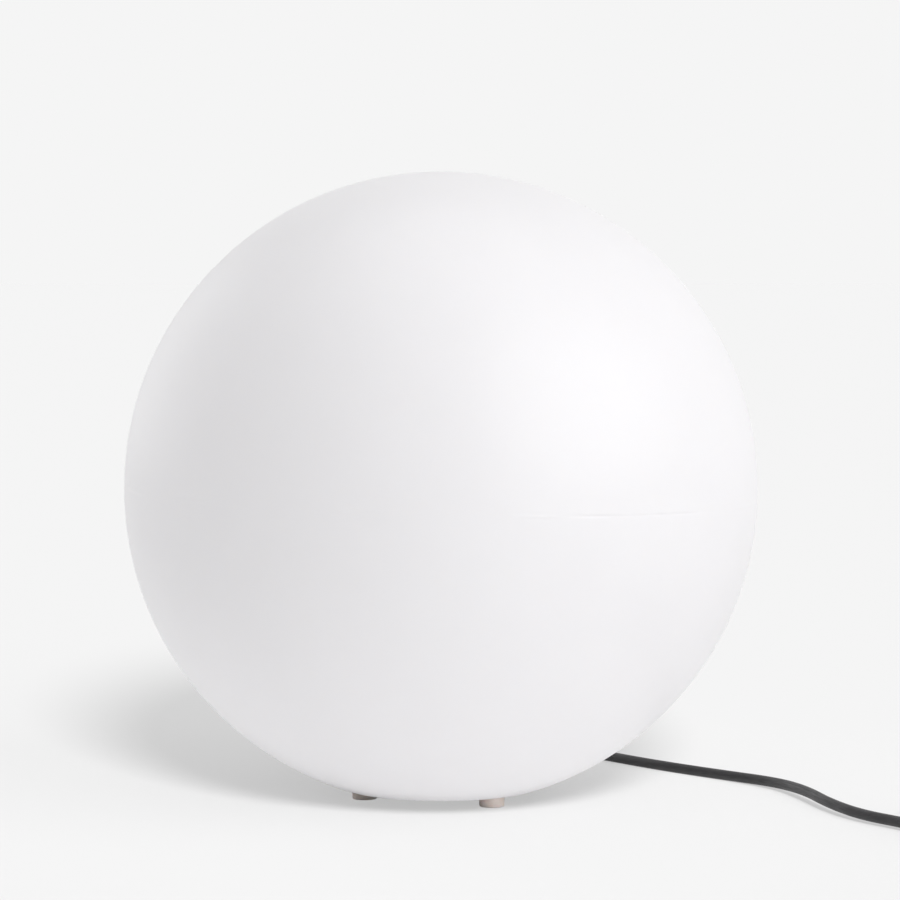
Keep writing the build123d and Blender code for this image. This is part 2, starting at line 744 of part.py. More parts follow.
def tail_points():
    """Level off the coil, down a slope, then level into the plug."""
    level, slope, last = tail_runs
    first = coil_out + out_heading * level
    second = first + out_heading * slope - Vector(0, 0, tail_drop)
    return [coil_out, first, second, second + out_heading * last]


tail = tail_points()
parts["cable_tail"] = cable_tube(tail, "cable_tail")
plug_at = Pos(tail[-1]) * Rot(0, 0, degrees(out_yaw))
plug_face = plug_boot_length + plug_body_length


def plug_section(x, width, thickness, corner):
    """Rounded outline of the plug's body, square to its length."""
    return Plane((x, 0, 0), x_dir=(0, 1, 0), z_dir=(1, 0, 0)) * RectangleRounded(width, thickness, corner)


def plug_body():
    """Moulded rubber body: a ribbed bend relief, a tapered grip and a face flange with flats."""
    tip = cable_radius + boot_tip_wall
    boot_end = plug_boot_length + boot_overlap
    boot = Polyline((0, 0), (0, tip), (boot_end, plug_boot_radius), (boot_end, 0), close=True)
    body = revolve(make_face(boot), Axis.X)
    for k in range(boot_ribs):
        x = boot_rib_pitch * (k + 1)
        depth = tip + (plug_boot_radius - tip) * x / plug_boot_length - boot_slot_depth
        ring = Cylinder(2 * plug_boot_radius, boot_slot_width) - Cylinder(depth, boot_slot_width)
        body -= Pos(x, 0, 0) * Rot(0, 90, 0) * ring
    start, end = plug_boot_length, plug_face - plug_flange / 2
    grip = loft([plug_section(start, *grip_start), plug_section((start + end) / 2, *grip_waist),
                 plug_section(end, *grip_end)])
    flange = Rot(0, 90, 0) * Cylinder(plug_width / 2, plug_flange)
    flange = Pos(plug_face - plug_flange / 2, 0, 0) * flange
    slab = Box(4 * plug_width, 2 * plug_width, plug_thickness)
    body = body + grip + (flange & slab)
    return body - bridge_block(0.0)


def bridge_block(gap):
    """The bridge's outline, drawn in by a gap."""
    width, height = bridge_width - 2 * gap, bridge_height - 2 * gap
    outline = plug_section(plug_face - bridge_depth, width, height, bridge_corner)
    return extrude(outline, bridge_depth)


def plug_pin(side):
    """Round pin with a domed end, on a wider collar that is held in the bridge."""
    from_low = (Align.CENTER, Align.CENTER, Align.MIN)
    pin = Rot(0, 90, 0) * Cylinder(pin_radius, pin_length, align=from_low)
    pin = fillet(pin.edges().group_by(Axis.X)[-1], pin_dome)
    collar = Rot(0, 90, 0) * Cylinder(pin_collar_radius, bridge_depth, align=from_low)
    pin += Pos(-bridge_depth, 0, 0) * collar
    return Pos(plug_face, side * pin_spacing / 2, 0) * pin


def plug_bridge():
    """Hard plate in the face that carries the pins."""
    plate = bridge_block(fit_gap)
    for side in (-1, 1):
        hole = Rot(0, 90, 0) * Cylinder(pin_collar_radius + fit_gap, 4 * bridge_depth)
        plate -= Pos(plug_face, side * pin_spacing / 2, 0) * hole
    return plate


parts["plug_body"] = plug_at * plug_body()
parts["plug_bridge"] = plug_at * plug_bridge()
parts["plug_pins"] = Compound([plug_at * plug_pin(side) for side in (-1, 1)])

# ---- files --------------------------------------------------------------------------------------

os.makedirs("parts", exist_ok=True)
for node, shape in parts.items():
    export_step(shape, f"parts/{node}.step")

free_length = (parts["cable_run"].volume + parts["cable_coil"].volume + parts["cable_tail"].volume) / (
    pi * cable_radius**2)
print("free cable length", round(free_length, 1))
print("globe centre", round(globe_centre, 2), "bulb top", round(bulb_top, 2), "nodes", len(parts))
pin_roots = [(plug_at * Pos(plug_face, side * pin_spacing / 2, 0)).position for side in (-1, 1)]
print("plug pins start at", [[round(c, 3) for c in place] for place in pin_roots],
      "heading", [round(c, 4) for c in out_heading])
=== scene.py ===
"""Dresses a garden globe light: an opal moulded ball on silicone feet, with its lampholder, bulb and cable.

It runs as a script. Each operator makes one piece, or one group of like pieces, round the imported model.
"""

from math import atan2, cos, pi, radians, sin, tau

import bmesh
import bpy
import numpy as np
from bpy.props import FloatProperty, FloatVectorProperty, IntProperty, PointerProperty
from mathutils import Matrix, Vector


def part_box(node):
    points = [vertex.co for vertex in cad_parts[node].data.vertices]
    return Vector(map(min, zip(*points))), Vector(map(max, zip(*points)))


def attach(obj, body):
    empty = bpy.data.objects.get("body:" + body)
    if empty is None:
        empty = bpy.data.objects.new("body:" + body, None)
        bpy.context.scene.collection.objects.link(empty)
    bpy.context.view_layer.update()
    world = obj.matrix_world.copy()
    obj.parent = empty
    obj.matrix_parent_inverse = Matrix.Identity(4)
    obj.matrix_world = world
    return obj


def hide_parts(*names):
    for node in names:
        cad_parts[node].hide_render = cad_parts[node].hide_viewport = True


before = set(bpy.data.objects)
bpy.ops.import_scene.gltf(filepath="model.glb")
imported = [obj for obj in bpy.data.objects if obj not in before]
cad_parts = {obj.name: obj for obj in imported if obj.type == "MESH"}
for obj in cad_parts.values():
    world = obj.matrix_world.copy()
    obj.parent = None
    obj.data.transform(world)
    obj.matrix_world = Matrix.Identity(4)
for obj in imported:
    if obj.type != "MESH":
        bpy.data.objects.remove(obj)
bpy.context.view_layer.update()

bl_info = {
    "name": "Garden globe light",
    "version": (1, 0, 0),
    "blender": (4, 5, 0),
    "location": "View3D > Sidebar > Globe light",
    "description": "Builds the finished surfaces of a garden globe light round its construction model",
    "category": "Object",
}

MM = 0.001
NOISE_LOW, NOISE_HIGH = 0.3, 0.7   # most of a noise texture lies between these
DRIFT_GRAINS = 15                  # size of a colour patch, in grains, where a finish states none

# ---- places that the construction model gives, in metres ------------------------------------------

LOW = {name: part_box(name)[0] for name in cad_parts}
HIGH = {name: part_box(name)[1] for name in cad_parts}
FEET = ["rubber_foot_1", "rubber_foot_2", "rubber_foot_3"]
FOOT_PLACES = [((LOW[name] + HIGH[name]) / 2).xy for name in FEET]
EXIT_ANGLE = radians(130.3)    # the cable leaves midway between two feet
SEAM_CREST = 0.35 * MM         # the construction model's parting line
GLOBE_RADIUS = (HIGH["globe_shell"].x - LOW["globe_shell"].x) / 2 - SEAM_CREST
GLOBE_CENTRE = HIGH["globe_shell"].z - GLOBE_RADIUS
RIM_HEIGHT = LOW["globe_shell"].z
SEAT_HEIGHT = HIGH["base_gasket"].z + 0.3 * MM
THREAD_PITCH = 25.4 / 7 * MM   # seven threads to the inch


# ---- nodes and colours -----------------------------------------------------------------------------

def linear(code):
    """Linear colour of an sRGB hex value."""
    levels = [int(code[at:at + 2], 16) / 255 for at in (0, 2, 4)]
    return tuple(v / 12.92 if v <= 0.04045 else ((v + 0.055) / 1.055) ** 2.4 for v in levels)


def put(tree, kind, inputs=(), **settings):
    """Add a node with its settings. Each (socket, value) input is a value or another node's output."""
    node = tree.nodes.new(kind)
    for name, value in settings.items():
        setattr(node, name, value)
    for socket, value in inputs:
        if isinstance(value, bpy.types.NodeSocket):
            tree.links.new(value, node.inputs[socket])
        else:
            node.inputs[socket].default_value = value
    return node


def principled(name, values):
    """New material, its node tree and its shader, with constant values set on the shader's own sockets."""
    material = bpy.data.materials.new(name)
    material.use_nodes = True
    tree = material.node_tree
    shader = tree.nodes["Principled BSDF"]
    for socket, value in values.items():
        shader.inputs[socket].default_value = value
    return material, tree, shader


def grained(name, light, dark, grain_mm, depth_mm, roughness, spread=0.08, stretch=(1, 1, 1),
            coordinates="Object", drift_mm=None, values=None):
    """Material whose relief and roughness follow a fine grain, and whose colour drifts from light to dark
    over a coarser one. Stretch below 1 draws the grain out along an axis. Pieces with one finish share it."""
    if name in bpy.data.materials:
        return bpy.data.materials[name]
    material, tree, shader = principled(name, values or {})
    place = put(tree, "ShaderNodeTexCoord").outputs[coordinates]
    drawn = put(tree, "ShaderNodeMapping", [("Vector", place), ("Scale", stretch)]).outputs[0]
    grain = put(tree, "ShaderNodeTexNoise", [
        ("Vector", drawn), ("Scale", 1 / (grain_mm * MM)), ("Detail", 4.0)]).outputs["Fac"]
    drift = put(tree, "ShaderNodeTexNoise", [
        ("Vector", drawn), ("Scale", 1 / ((drift_mm or DRIFT_GRAINS * grain_mm) * MM)),
        ("Detail", 3.0)]).outputs["Fac"]
    tone = put(tree, "ShaderNodeMix", [
        ("Factor", drift), (6, (*linear(dark), 1)), (7, (*linear(light), 1))], data_type="RGBA")
    rough = put(tree, "ShaderNodeMapRange", [
        ("Value", grain), ("From Min", NOISE_LOW), ("From Max", NOISE_HIGH),
        ("To Min", roughness - spread), ("To Max", roughness + spread)])
    bump = put(tree, "ShaderNodeBump", [("Height", grain), ("Distance", depth_mm * MM)])
    tree.links.new(tone.outputs[2], shader.inputs["Base Color"])
    tree.links.new(rough.outputs[0], shader.inputs["Roughness"])
    tree.links.new(bump.outputs[0], shader.inputs["Normal"])
    return material


# ---- materials -------------------------------------------------------------------------------------

def opal_polyethylene():
    """Rotationally moulded polyethylene: milky, light bleeds into it, and its satin skin spreads
    highlights."""
    return grained("rotomoulded_opal_polyethylene", "F6F4F6", "F3F1F3", 1.6, 0.006, 0.40, 0.03, drift_mm=60,
                   values={"Subsurface Weight": 0.35, "Subsurface Radius": (1.0, 0.95, 0.9),
                           "Subsurface Scale": 6 * MM, "IOR": 1.51})


def moulded_silicone():
    """Moulded silicone: pinkish beige, slightly see-through, with a soft sheen dulled by dust."""
    return grained("moulded_beige_silicone", "F6EAE4", "ECDDD5", 1.2, 0.02, 0.48, 0.10,
                   values={"Subsurface Weight": 0.3, "Subsurface Radius": (1.0, 0.62, 0.45),
                           "Subsurface Scale": 2 * MM, "IOR": 1.41})


def rubber_sheath():
    """Extruded rubber cable sheath: charcoal and matt, with fine lines drawn along it by the die. The lines
    are 0.8 mm apart, coarser than real ones, so that they show."""
    return grained("extruded_rubber_sheath", "29282A", "1F1E20", 0.8, 0.05, 0.52, 0.12,
                   stretch=(0.06, 1.0, 1.0), coordinates="UV", drift_mm=5, values={"IOR": 1.52})


def moulded_rubber():
    """Injection-moulded rubber of the plug and sleeve: black, with a fine spark-eroded mould texture."""
    return grained("spark_textured_moulded_rubber", "373638", "2E2D2F", 0.35, 0.03, 0.60,
                   values={"IOR": 1.52})


def strap_fleece():
    """Looped nylon of the hook-and-loop straps: dark grey pile that scatters light softly."""
    return grained("looped_nylon_fleece", "4A4B4E", "2F3033", 0.45, 0.25, 0.85, drift_mm=2.0,
                   values={"IOR": 1.53, "Sheen Weight": 0.4, "Sheen Roughness": 0.5})


def polypropylene():
    """Injection-moulded polypropylene: off-white and waxy, and light goes a little way into it."""
    return grained("moulded_white_polypropylene", "E6E6E2", "DEDEDA", 0.8, 0.008, 0.40,
                   values={"Subsurface Weight": 0.15, "Subsurface Radius": (1.0, 0.95, 0.85),
                           "Subsurface Scale": 2 * MM, "IOR": 1.49})


def black_epdm():
    """Moulded EPDM rubber: deep black and dead matt, with a little talc."""
    return grained("moulded_black_epdm", "2C2C2C", "222222", 0.4, 0.02, 0.75, values={"IOR": 1.52})


def glass_filled_polyamide():
    """Glass-filled polyamide: grey, with short flow streaks of fibre at its skin."""
    return grained("glass_filled_grey_polyamide", "56585A", "4A4C4E", 0.5, 0.012, 0.46,
                   stretch=(1.0, 0.35, 1.0), values={"IOR": 1.53})


def black_pbt():
    """Moulded PBT polyester: black, hard, spark-textured, and a little glossier on its peaks."""
    return grained("spark_textured_black_pbt", "2B2B2C", "242425", 0.45, 0.02, 0.42, values={"IOR": 1.57})


def white_pbt():
    """Moulded white PBT of the bulb's housing: bright and semi-gloss, with faint orange peel."""
    return grained("moulded_white_pbt", "EEEEEC", "E8E8E5", 1.4, 0.006, 0.30, 0.05, values={"IOR": 1.57})


def opal_polycarbonate():
    """Frosted polycarbonate dome: white, with light bleeding through and a fine frost that dulls
    reflections."""
    return grained("frosted_opal_polycarbonate", "F1F1EE", "EDEDEA", 0.5, 0.006, 0.38, 0.04,
                   values={"Subsurface Weight": 0.4, "Subsurface Radius": (1.0, 0.96, 0.9),
                           "Subsurface Scale": 3 * MM, "IOR": 1.58})


def steatite():
    """Pressed and fired steatite: cream and unglazed, with fine sintered speckle."""
    return grained("pressed_steatite_ceramic", "E6DFCD", "D6CDB8", 0.6, 0.02, 0.55, 0.10, values={"IOR": 1.6})


def nickel_brass():
    """Nickel-plated brass, deep drawn: pale warm metal with soft draw lines."""
    return grained("nickel_plated_brass", "D3CEC4", "C3BDB1", 0.5, 0.006, 0.28, stretch=(0.25, 0.25, 2.0),
                   values={"Metallic": 1.0})


def turned_brass():
    """Turned brass: yellow metal with fine tool rings and slight tarnish between them."""
    return grained("turned_plain_brass", "CFAE6B", "B6924C", 0.35, 0.01, 0.30, stretch=(0.3, 0.3, 3.0),
                   values={"Metallic": 1.0})


def zinc_steel():
    """Zinc-plated steel screws: bluish grey metal with cloudy passivation."""
    return grained("zinc_plated_steel", "BFC3C9", "A6AAB2", 0.6, 0.006, 0.34, values={"Metallic": 1.0})


def stainless_steel():
    """Cold-headed stainless steel: neutral grey metal, lightly tumbled."""
    return grained("tumbled_stainless_steel", "BDBBB7", "A8A6A2", 0.5, 0.008, 0.36, values={"Metallic": 1.0})


def brown_pvc():
    """Extruded PVC core insulation, brown, with a soft sheen."""
    return grained("extruded_brown_pvc", "6B4126", "5E3821", 0.6, 0.008, 0.36, values={"IOR": 1.54})


def blue_pvc():
    """Extruded PVC core insulation, blue, with a soft sheen."""
    return grained("extruded_blue_pvc", "2F5FA5", "28549B", 0.6, 0.008, 0.36, values={"IOR": 1.54})


def led_board():
    """Aluminium LED board under white solder mask: bright, with a faintly uneven print."""
    return grained("white_masked_aluminium_board", "EDEDE9", "E2E3DF", 0.9, 0.01, 0.33, values={"IOR": 1.55})


def driver_board():
    """Fibreglass driver board under green solder mask: the weave shows as fine uneven gloss."""
    return grained("green_masked_fibreglass", "2F6B45", "245737", 0.7, 0.02, 0.30, values={"IOR": 1.55})


def phosphor():
    """Silicone-bound phosphor on the emitters: dense yellow, grainy and matt."""
    return grained("phosphor_in_silicone", "E6CB63", "D6B54A", 0.25, 0.02, 0.55, values={"IOR": 1.45})


def black_glass():
    """Pressed black glass of the cap's insulator: glossy, with fire-polished ripples."""
    return grained("pressed_black_glass", "1E1E20", "171719", 1.6, 0.01, 0.10, 0.04, values={"IOR": 1.52})


# ---- surfaces --------------------------------------------------------------------------------------

def grid_faces(rows, columns, ring=False):
    """Quads of a grid that closes round its columns, and round its rows too if it is a ring."""
    row, column = np.meshgrid(np.arange(rows if ring else rows - 1), np.arange(columns), indexing="ij")
    below, beside = (row + 1) % rows, (column + 1) % columns
    corners = [row * columns + column, row * columns + beside,
               below * columns + beside, below * columns + column]
    return np.stack(corners, -1).reshape(-1, 4)


def rounded(outline, radius, steps=5, closed=True):
    """Outline whose corners P become curves (1-t)^2 A + 2t(1-t) P + t^2 B, t from 0 to 1. A and B lie on
    the corner's sides, a radius from P, or 0.45 of the shorter side if that is less."""
    p = np.asarray(outline, float)
    before, after = np.roll(p, 1, 0) - p, np.roll(p, -1, 0) - p
    in_length = np.linalg.norm(before, axis=1, keepdims=True)
    out_length = np.linalg.norm(after, axis=1, keepdims=True)
    reach = np.minimum(np.reshape(radius, (-1, 1)), 0.45 * np.minimum(in_length, out_length))
    if not closed:
        reach[[0, -1]] = 0
    a, b = p + before * reach / in_length, p + after * reach / out_length
    t = np.linspace(0, 1, steps)[:, None, None]
    curve = (1 - t) ** 2 * a + 2 * t * (1 - t) * p + t**2 * b
    return curve.transpose(1, 0, 2).reshape(-1, p.shape[1])


def lathe(outline, columns=96, place=(0.0, 0.0), ring=False, relief=None):
    """Surface of revolution: (r, h) of the outline goes to x = r cos u, y = r sin u, z = h, u round a turn.
    Relief(r, h, u) is added to r."""
    r, h = np.asarray(outline, float).T[:, :, None]
    u = np.linspace(0, tau, columns, endpoint=False)[None, :]
    r = np.maximum(r + relief(r, h, u), 0) if relief else r + 0 * u
    points = np.stack([place[0] + r * np.cos(u), place[1] + r * np.sin(u), h + 0 * u], -1)
    return points.reshape(-1, 3), grid_faces(len(h), columns, ring)


def prism(outline, low, high):
    """Upright prism: the closed (x, y) outline at height low and high, each closed by a point at its
    middle."""
    xy = np.asarray(outline, float)
    middle = np.broadcast_to(xy.mean(0), xy.shape)
    rows = [np.column_stack([flat, np.full(len(xy), height)])
            for flat, height in ((middle, low), (xy, low), (xy, high), (middle, high))]
    return np.concatenate(rows), grid_faces(4, len(xy))


def oblong(width, height, corner, steps=6):
    """Rounded rectangle round the origin."""
    x, y = width / 2, height / 2
    return rounded([(x, -y), (x, y), (-x, y), (-x, -y)], corner, steps)


def together(*surfaces):
    """One list of points and one of faces for several surfaces."""
    starts = np.cumsum([0] + [len(points) for points, faces in surfaces[:-1]])
    faces = [part_faces + start for (points, part_faces), start in zip(surfaces, starts)]
    return np.concatenate([points for points, part_faces in surfaces]), np.concatenate(faces)


def placed(surface, matrix):
    """Surface whose points are moved by a matrix."""
    points, faces = surface
    turn, shift = np.array(matrix)[:3, :3], np.array(matrix)[:3, 3]
    return points @ turn.T + shift, faces


def solid(name, surface, sharp_degrees=40.0, uv=None):
    """Object of a closed surface: doubles merged, poles closed, faces outward, smooth below an angle.
    The uv array holds a pair for each corner of each face."""
    points, faces = surface
    mesh = bpy.data.meshes.new(name)
    mesh.from_pydata(points.tolist(), [], faces.tolist())
    if uv is not None:
        mesh.uv_layers.new(name="sheath").data.foreach_set("uv", np.ascontiguousarray(uv, float).ravel())
    work = bmesh.new()
    work.from_mesh(mesh)
    bmesh.ops.remove_doubles(work, verts=work.verts, dist=1e-6)
    bmesh.ops.recalc_face_normals(work, faces=work.faces)
    work.to_mesh(mesh)
    work.free()
    mesh.shade_smooth()
    mesh.set_sharp_from_angle(angle=radians(sharp_degrees))
    piece = bpy.data.objects.new(name, mesh)
    bpy.context.scene.collection.objects.link(piece)
    return piece


def cut(piece, surface, operation="DIFFERENCE"):
    """Cut a surface's solid out of a piece, or join it on, and leave the piece as a plain mesh."""
    tool = solid("tool", surface)
    modifier = piece.modifiers.new("cut", "BOOLEAN")
    modifier.operation, modifier.object, modifier.solver = operation, tool, "MANIFOLD"
    bpy.context.view_layer.update()
    finished = bpy.data.meshes.new_from_object(piece.evaluated_get(bpy.context.evaluated_depsgraph_get()))
    piece.modifiers.clear()
    piece.data = finished
    bpy.data.objects.remove(tool)
    finished.set_sharp_from_angle(angle=radians(40))


def fit(piece, material, body, slot, *nodes):
    """Give a piece its material, and let it ride on a body in place of nodes."""
    piece.data.materials.clear()
    piece.data.materials.append(material)
    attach(piece, body)
    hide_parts(*nodes)


def smooth_line(route):
    """Points along the NURBS line of third order that a route's control points give."""
    curve = bpy.data.curves.new("route", "CURVE")
    curve.dimensions = "3D"
    spline = curve.splines.new("NURBS")
    spline.points.add(len(route) - 1)
    spline.points.foreach_set("co", np.column_stack([route, np.ones(len(route))]).ravel())
    spline.order_u = 3
    spline.use_endpoint_u = True
    curve.resolution_u = 8
    carrier = bpy.data.objects.new("route", curve)
    mesh = bpy.data.meshes.new_from_object(carrier)
    line = np.empty(3 * len(mesh.vertices))
    mesh.vertices.foreach_get("co", line)
    bpy.data.objects.remove(carrier)
    bpy.data.meshes.remove(mesh)
    return line.reshape(-1, 3)


def tube(name, line, radius, columns, away, edge=0.3 * MM):
    """Closed round tube along a line: line(s) + radius (cos v side(s) + sin v up(s)). Side is level and
    square to the line, and where the line is upright it is square to the level direction away. Its ends are
    chamfered by an edge. The u of its UV is the length along it and v the length round it, in metres."""
    run = np.gradient(line, axis=0)
    run /= np.linalg.norm(run, axis=1, keepdims=True)
    level = run * (1, 1, 0) + 1e-5 * np.array([*away, 0])
    side = np.cross((0, 0, 1), level)
    side /= np.linalg.norm(side, axis=1, keepdims=True)
    up = np.cross(run, side)
    v = np.linspace(0, tau, columns, endpoint=False)
    section = np.cos(v)[:, None] * side[:, None] + np.sin(v)[:, None] * up[:, None]
    rings = radius * section + line[:, None]
    head = [np.repeat(line[:1], columns, 0), line[0] + (radius - edge) * section[0]]
    tail = [line[-1] + (radius - edge) * section[-1], np.repeat(line[-1:], columns, 0)]
    rings[0] += run[0] * edge
    rings[-1] -= run[-1] * edge
    points = np.concatenate([head, rings, tail])
    along = np.concatenate([[0], np.cumsum(np.linalg.norm(np.diff(points.mean(1), axis=0), axis=1))])
    row, column = np.meshgrid(np.arange(len(points) - 1), np.arange(columns), indexing="ij")
    width = tau * radius / columns
    corners = [(along[row], column * width), (along[row], (column + 1) * width),
               (along[row + 1], (column + 1) * width), (along[row + 1], column * width)]
    uv = np.stack([np.stack(corner, -1) for corner in corners], 2)
    return solid(name, (points.reshape(-1, 3), grid_faces(len(points), columns)), uv=uv)


# ---- settings --------------------------------------------------------------------------------------

def length(name, description, default_mm):
    """A size that is shown in the file's length unit."""
    return FloatProperty(name=name, description=description, default=default_mm * MM, unit="LENGTH",
                         subtype="DISTANCE", precision=5)


class GlobeSizes(bpy.types.PropertyGroup):
    """Sizes of the ball."""

    radius: length("Radius", "Outer radius of the ball", GLOBE_RADIUS / MM)
    wall: length("Wall", "Wall of the moulding", 3.0)
    rim_radius: length("Rim radius", "Where the ball is cut flat", 64.0)
    rim_round: length("Rim rounding", "Rounding of the rim's outer edge", 0.8)
    recess_radius: length("Recess radius", "Recess that the base plate sits in", 61.0)
    mouth_radius: length("Mouth radius", "Opening that passes over the bulb", 41.0)
    flange: length("Flange", "Thickness of the inward flange", 3.0)
    boss_radius: length("Boss radius", "Blind boss over each insert", 6.5)
    boss_height: length("Boss height", "Top of each boss above the flange", 12.5)
    insert_radius: length("Insert bore", "Bore for each insert", 3.35)
    insert_depth: length("Insert depth", "Depth of each insert's bore", 9.05)
    screw_hole: length("Screw hole", "Radius of the hole below each insert", 2.25)
    seam_drop: length("Seam drop", "Parting line below the ball's centre", 1.9)
    seam_slope: FloatProperty(name="Seam slope", description="Fall of the parting line towards +X",
                              default=0.0245)
    seam_width: length("Seam width", "Half width of the parting line's ridge", 0.75)
    seam_relief: length("Seam relief", "How far the ridge stands out where it is highest", 0.34)
    columns: IntProperty(name="Columns", description="Divisions round the ball", default=360)
    rows: IntProperty(name="Rows", description="Divisions from crown to rim", default=144)


class CableSizes(bpy.types.PropertyGroup):
    """Sizes of the cable, of its sleeve and of its put-away coil."""

    diameter: length("Diameter", "Two-core rubber cable", 6.6)
    free_length: length("Free length", "From the sleeve to the plug", 2918.0)
    coil_radius: length("Coil radius", "Centre line of the outermost turn", 43.4)
    coil_pitch: length("Pitch", "Between turns side by side", 7.25)
    coil_rise: length("Rise", "Between layers", 7.15)
    turns: FloatProperty(name="Turns", description="Turns in a full layer", default=2.0)
    last_turns: FloatProperty(name="Last turns", description="Turns in the last layer", default=1.5)
    layers: IntProperty(name="Layers", description="Layers of the coil", default=4)
    turn_points: IntProperty(name="Points", description="Control points in each turn", default=16)
    strap_width: length("Strap width", "Hook-and-loop strap round the coil", 8.0)
    strap_thickness: length("Strap thickness", "One layer of the strap", 1.2)


class StageSizes(bpy.types.PropertyGroup):
    """Light, floor and background."""

    background: FloatVectorProperty(name="Background", description="Colour behind the light", subtype="COLOR",
                                    size=3, default=linear("F5F5F5"))
    floor_colour: FloatVectorProperty(name="Floor", description="Colour of the floor", subtype="COLOR",
                                      size=3, default=linear("B8B8B8"))
    shadow_share: FloatProperty(name="Shadow share", default=0.455,
                                description="Share of the floor's look that takes shadow")
    floor_lift: FloatProperty(name="Floor lift", description="Even part of the floor's look", default=0.474)
    sky: FloatProperty(name="Sky", description="Even light from all round", default=0.455)
    softbox: FloatProperty(name="Softbox", description="Large softbox at the front right", default=1.37)
    overhead: FloatProperty(name="Overhead", description="Softbox over the light", default=0.60)
    rear_fill: FloatProperty(name="Rear fill", description="Fill from behind on the left", default=0.42)
    floor_key: FloatProperty(name="Floor key", default=7.0,
                             description="Lamp for the floor alone, which draws the ball's shadow")


# ---- routes ----------------------------------------------------------------------------------------

# Free cable in millimetres: from the sleeve's tip it falls inside the turret, then runs on the floor in a
# loose curve to the coil. The first list is (distance along the exit, height), the second (x, y, height).
DROP_ROUTE = [(0.0, 54.0), (0.0, 30.6), (10.0, 13.3), (27.3, 3.3)]
FLOOR_ROUTE = [
    (-30.6, 37.4, 3.3),
    (-46.0, 54.0, 3.3),
    (-68.0, 83.0, 3.3),
    (-82.0, 121.0, 3.3),
    (-77.0, 163.0, 3.3),
    (-52.0, 198.0, 3.3),
    (-13.0, 218.0, 3.3),
    (33.0, 216.0, 3.3),
    (74.0, 192.0, 3.3),
    (107.0, 154.0, 3.3),
    (146.0, 105.0, 3.3),
    (186.0, 64.0, 3.3),
    (217.0, 26.0, 4.6),
    (231.0, -18.0, 6.4),
    (240.0, -62.0, 6.0),
    (255.0, -97.0, 4.9),
    (277.0, -125.0, 4.8),
    (293.0, -151.0, 4.8),
]
TAIL_RUNS = (30.0, 30.0, 24.0)    # level out of the coil, down to the plug's height, and into the plug
PLUG_HEIGHT = 13.5
ALONG_EXIT = (cos(EXIT_ANGLE), sin(EXIT_ANGLE))


def run_points():
    """Control points of the cable from the sleeve to the coil."""
    drop = [(ALONG_EXIT[0] * distance, ALONG_EXIT[1] * distance, height) for distance, height in DROP_ROUTE]
    return [Vector(point) * MM for point in drop + FLOOR_ROUTE]


def coil_frame(cable):
    """Middle of the coil at its lowest turn's height, and the turn about it that carries on the run."""
    run = run_points()
    lead = (run[-1] - run[-2]).normalized()
    yaw = atan2(lead.y, lead.x) - atan2(cable.coil_radius, -cable.coil_pitch / tau)
    begin = run[-1] + lead * cable.diameter
    return begin - Vector((cos(yaw), sin(yaw), 0)) * cable.coil_radius, yaw


def coil_sweep(cable):
    """Angle that the whole coil turns through, and the angle of a full layer."""
    layer_sweep = tau * cable.turns
    return (cable.layers - 1) * (layer_sweep + pi) + tau * cable.last_turns, layer_sweep


def coil_line(cable, angle, outward=1.0):
    """Points of the coil's centre line at angles from its start, drawn outward from its axis by a factor.
    Its radius falls and grows by a pitch a turn, layer by layer, and the line climbs a layer in the half
    turn where the spiral reverses."""
    layer_sweep = coil_sweep(cable)[1]
    layer, swept = np.divmod(angle, layer_sweep + pi)
    climbed = np.maximum(swept - layer_sweep, 0)
    inward = np.minimum(swept, layer_sweep) + climbed - climbed**2 / pi
    inward = np.where(layer % 2, layer_sweep - inward, inward)
    radius = (cable.coil_radius - cable.coil_pitch * inward / tau) * outward
    height = cable.coil_rise * (layer + (1 - np.cos(climbed)) / 2)
    centre, yaw = coil_frame(cable)
    x, y = centre.x + radius * np.cos(angle + yaw), centre.y + radius * np.sin(angle + yaw)
    return np.stack([x, y, centre.z + height], -1)


def coil_points(cable):
    """Control points of the coil. They stand half a step off, on a polygon round the line, so the first and
    last sides lie along the cable's own way in and out."""
    step = tau / cable.turn_points
    return coil_line(cable, np.arange(step / 2, coil_sweep(cable)[0], step), 1 / cos(step / 2))


def tail_points(cable):
    """Control points from the coil down to the plug."""
    whole = coil_sweep(cable)[0]
    before, end = (Vector(point) for point in coil_line(cable, np.array([whole - 0.001, whole])))
    out = end - before
    out.z = 0
    out.normalize()
    level, slope, last = (run * MM for run in TAIL_RUNS)
    first = end + out * (cable.diameter + level)
    second = first + out * slope
    second.z = PLUG_HEIGHT * MM
    return [first, second, second + out * last]


# Plug in millimetres from the tip of its bend relief: width and thickness at places along it, then the
# middles of the relief's slots and of the grip's ribs.
PLUG_PLACES = [0, 22, 27, 33, 41, 52, 60]
PLUG_WIDTHS = [9.4, 14.8, 17.6, 20.4, 24.0, 30.0, 31.0]
PLUG_THICKNESSES = [9.4, 14.8, 15.6, 17.0, 19.6, 23.2, 24.0]
PLUG_SLOTS = (5, 10, 15, 20)
PLUG_RIBS = (32, 36, 40, 44, 48)


# ---- operators -------------------------------------------------------------------------------------

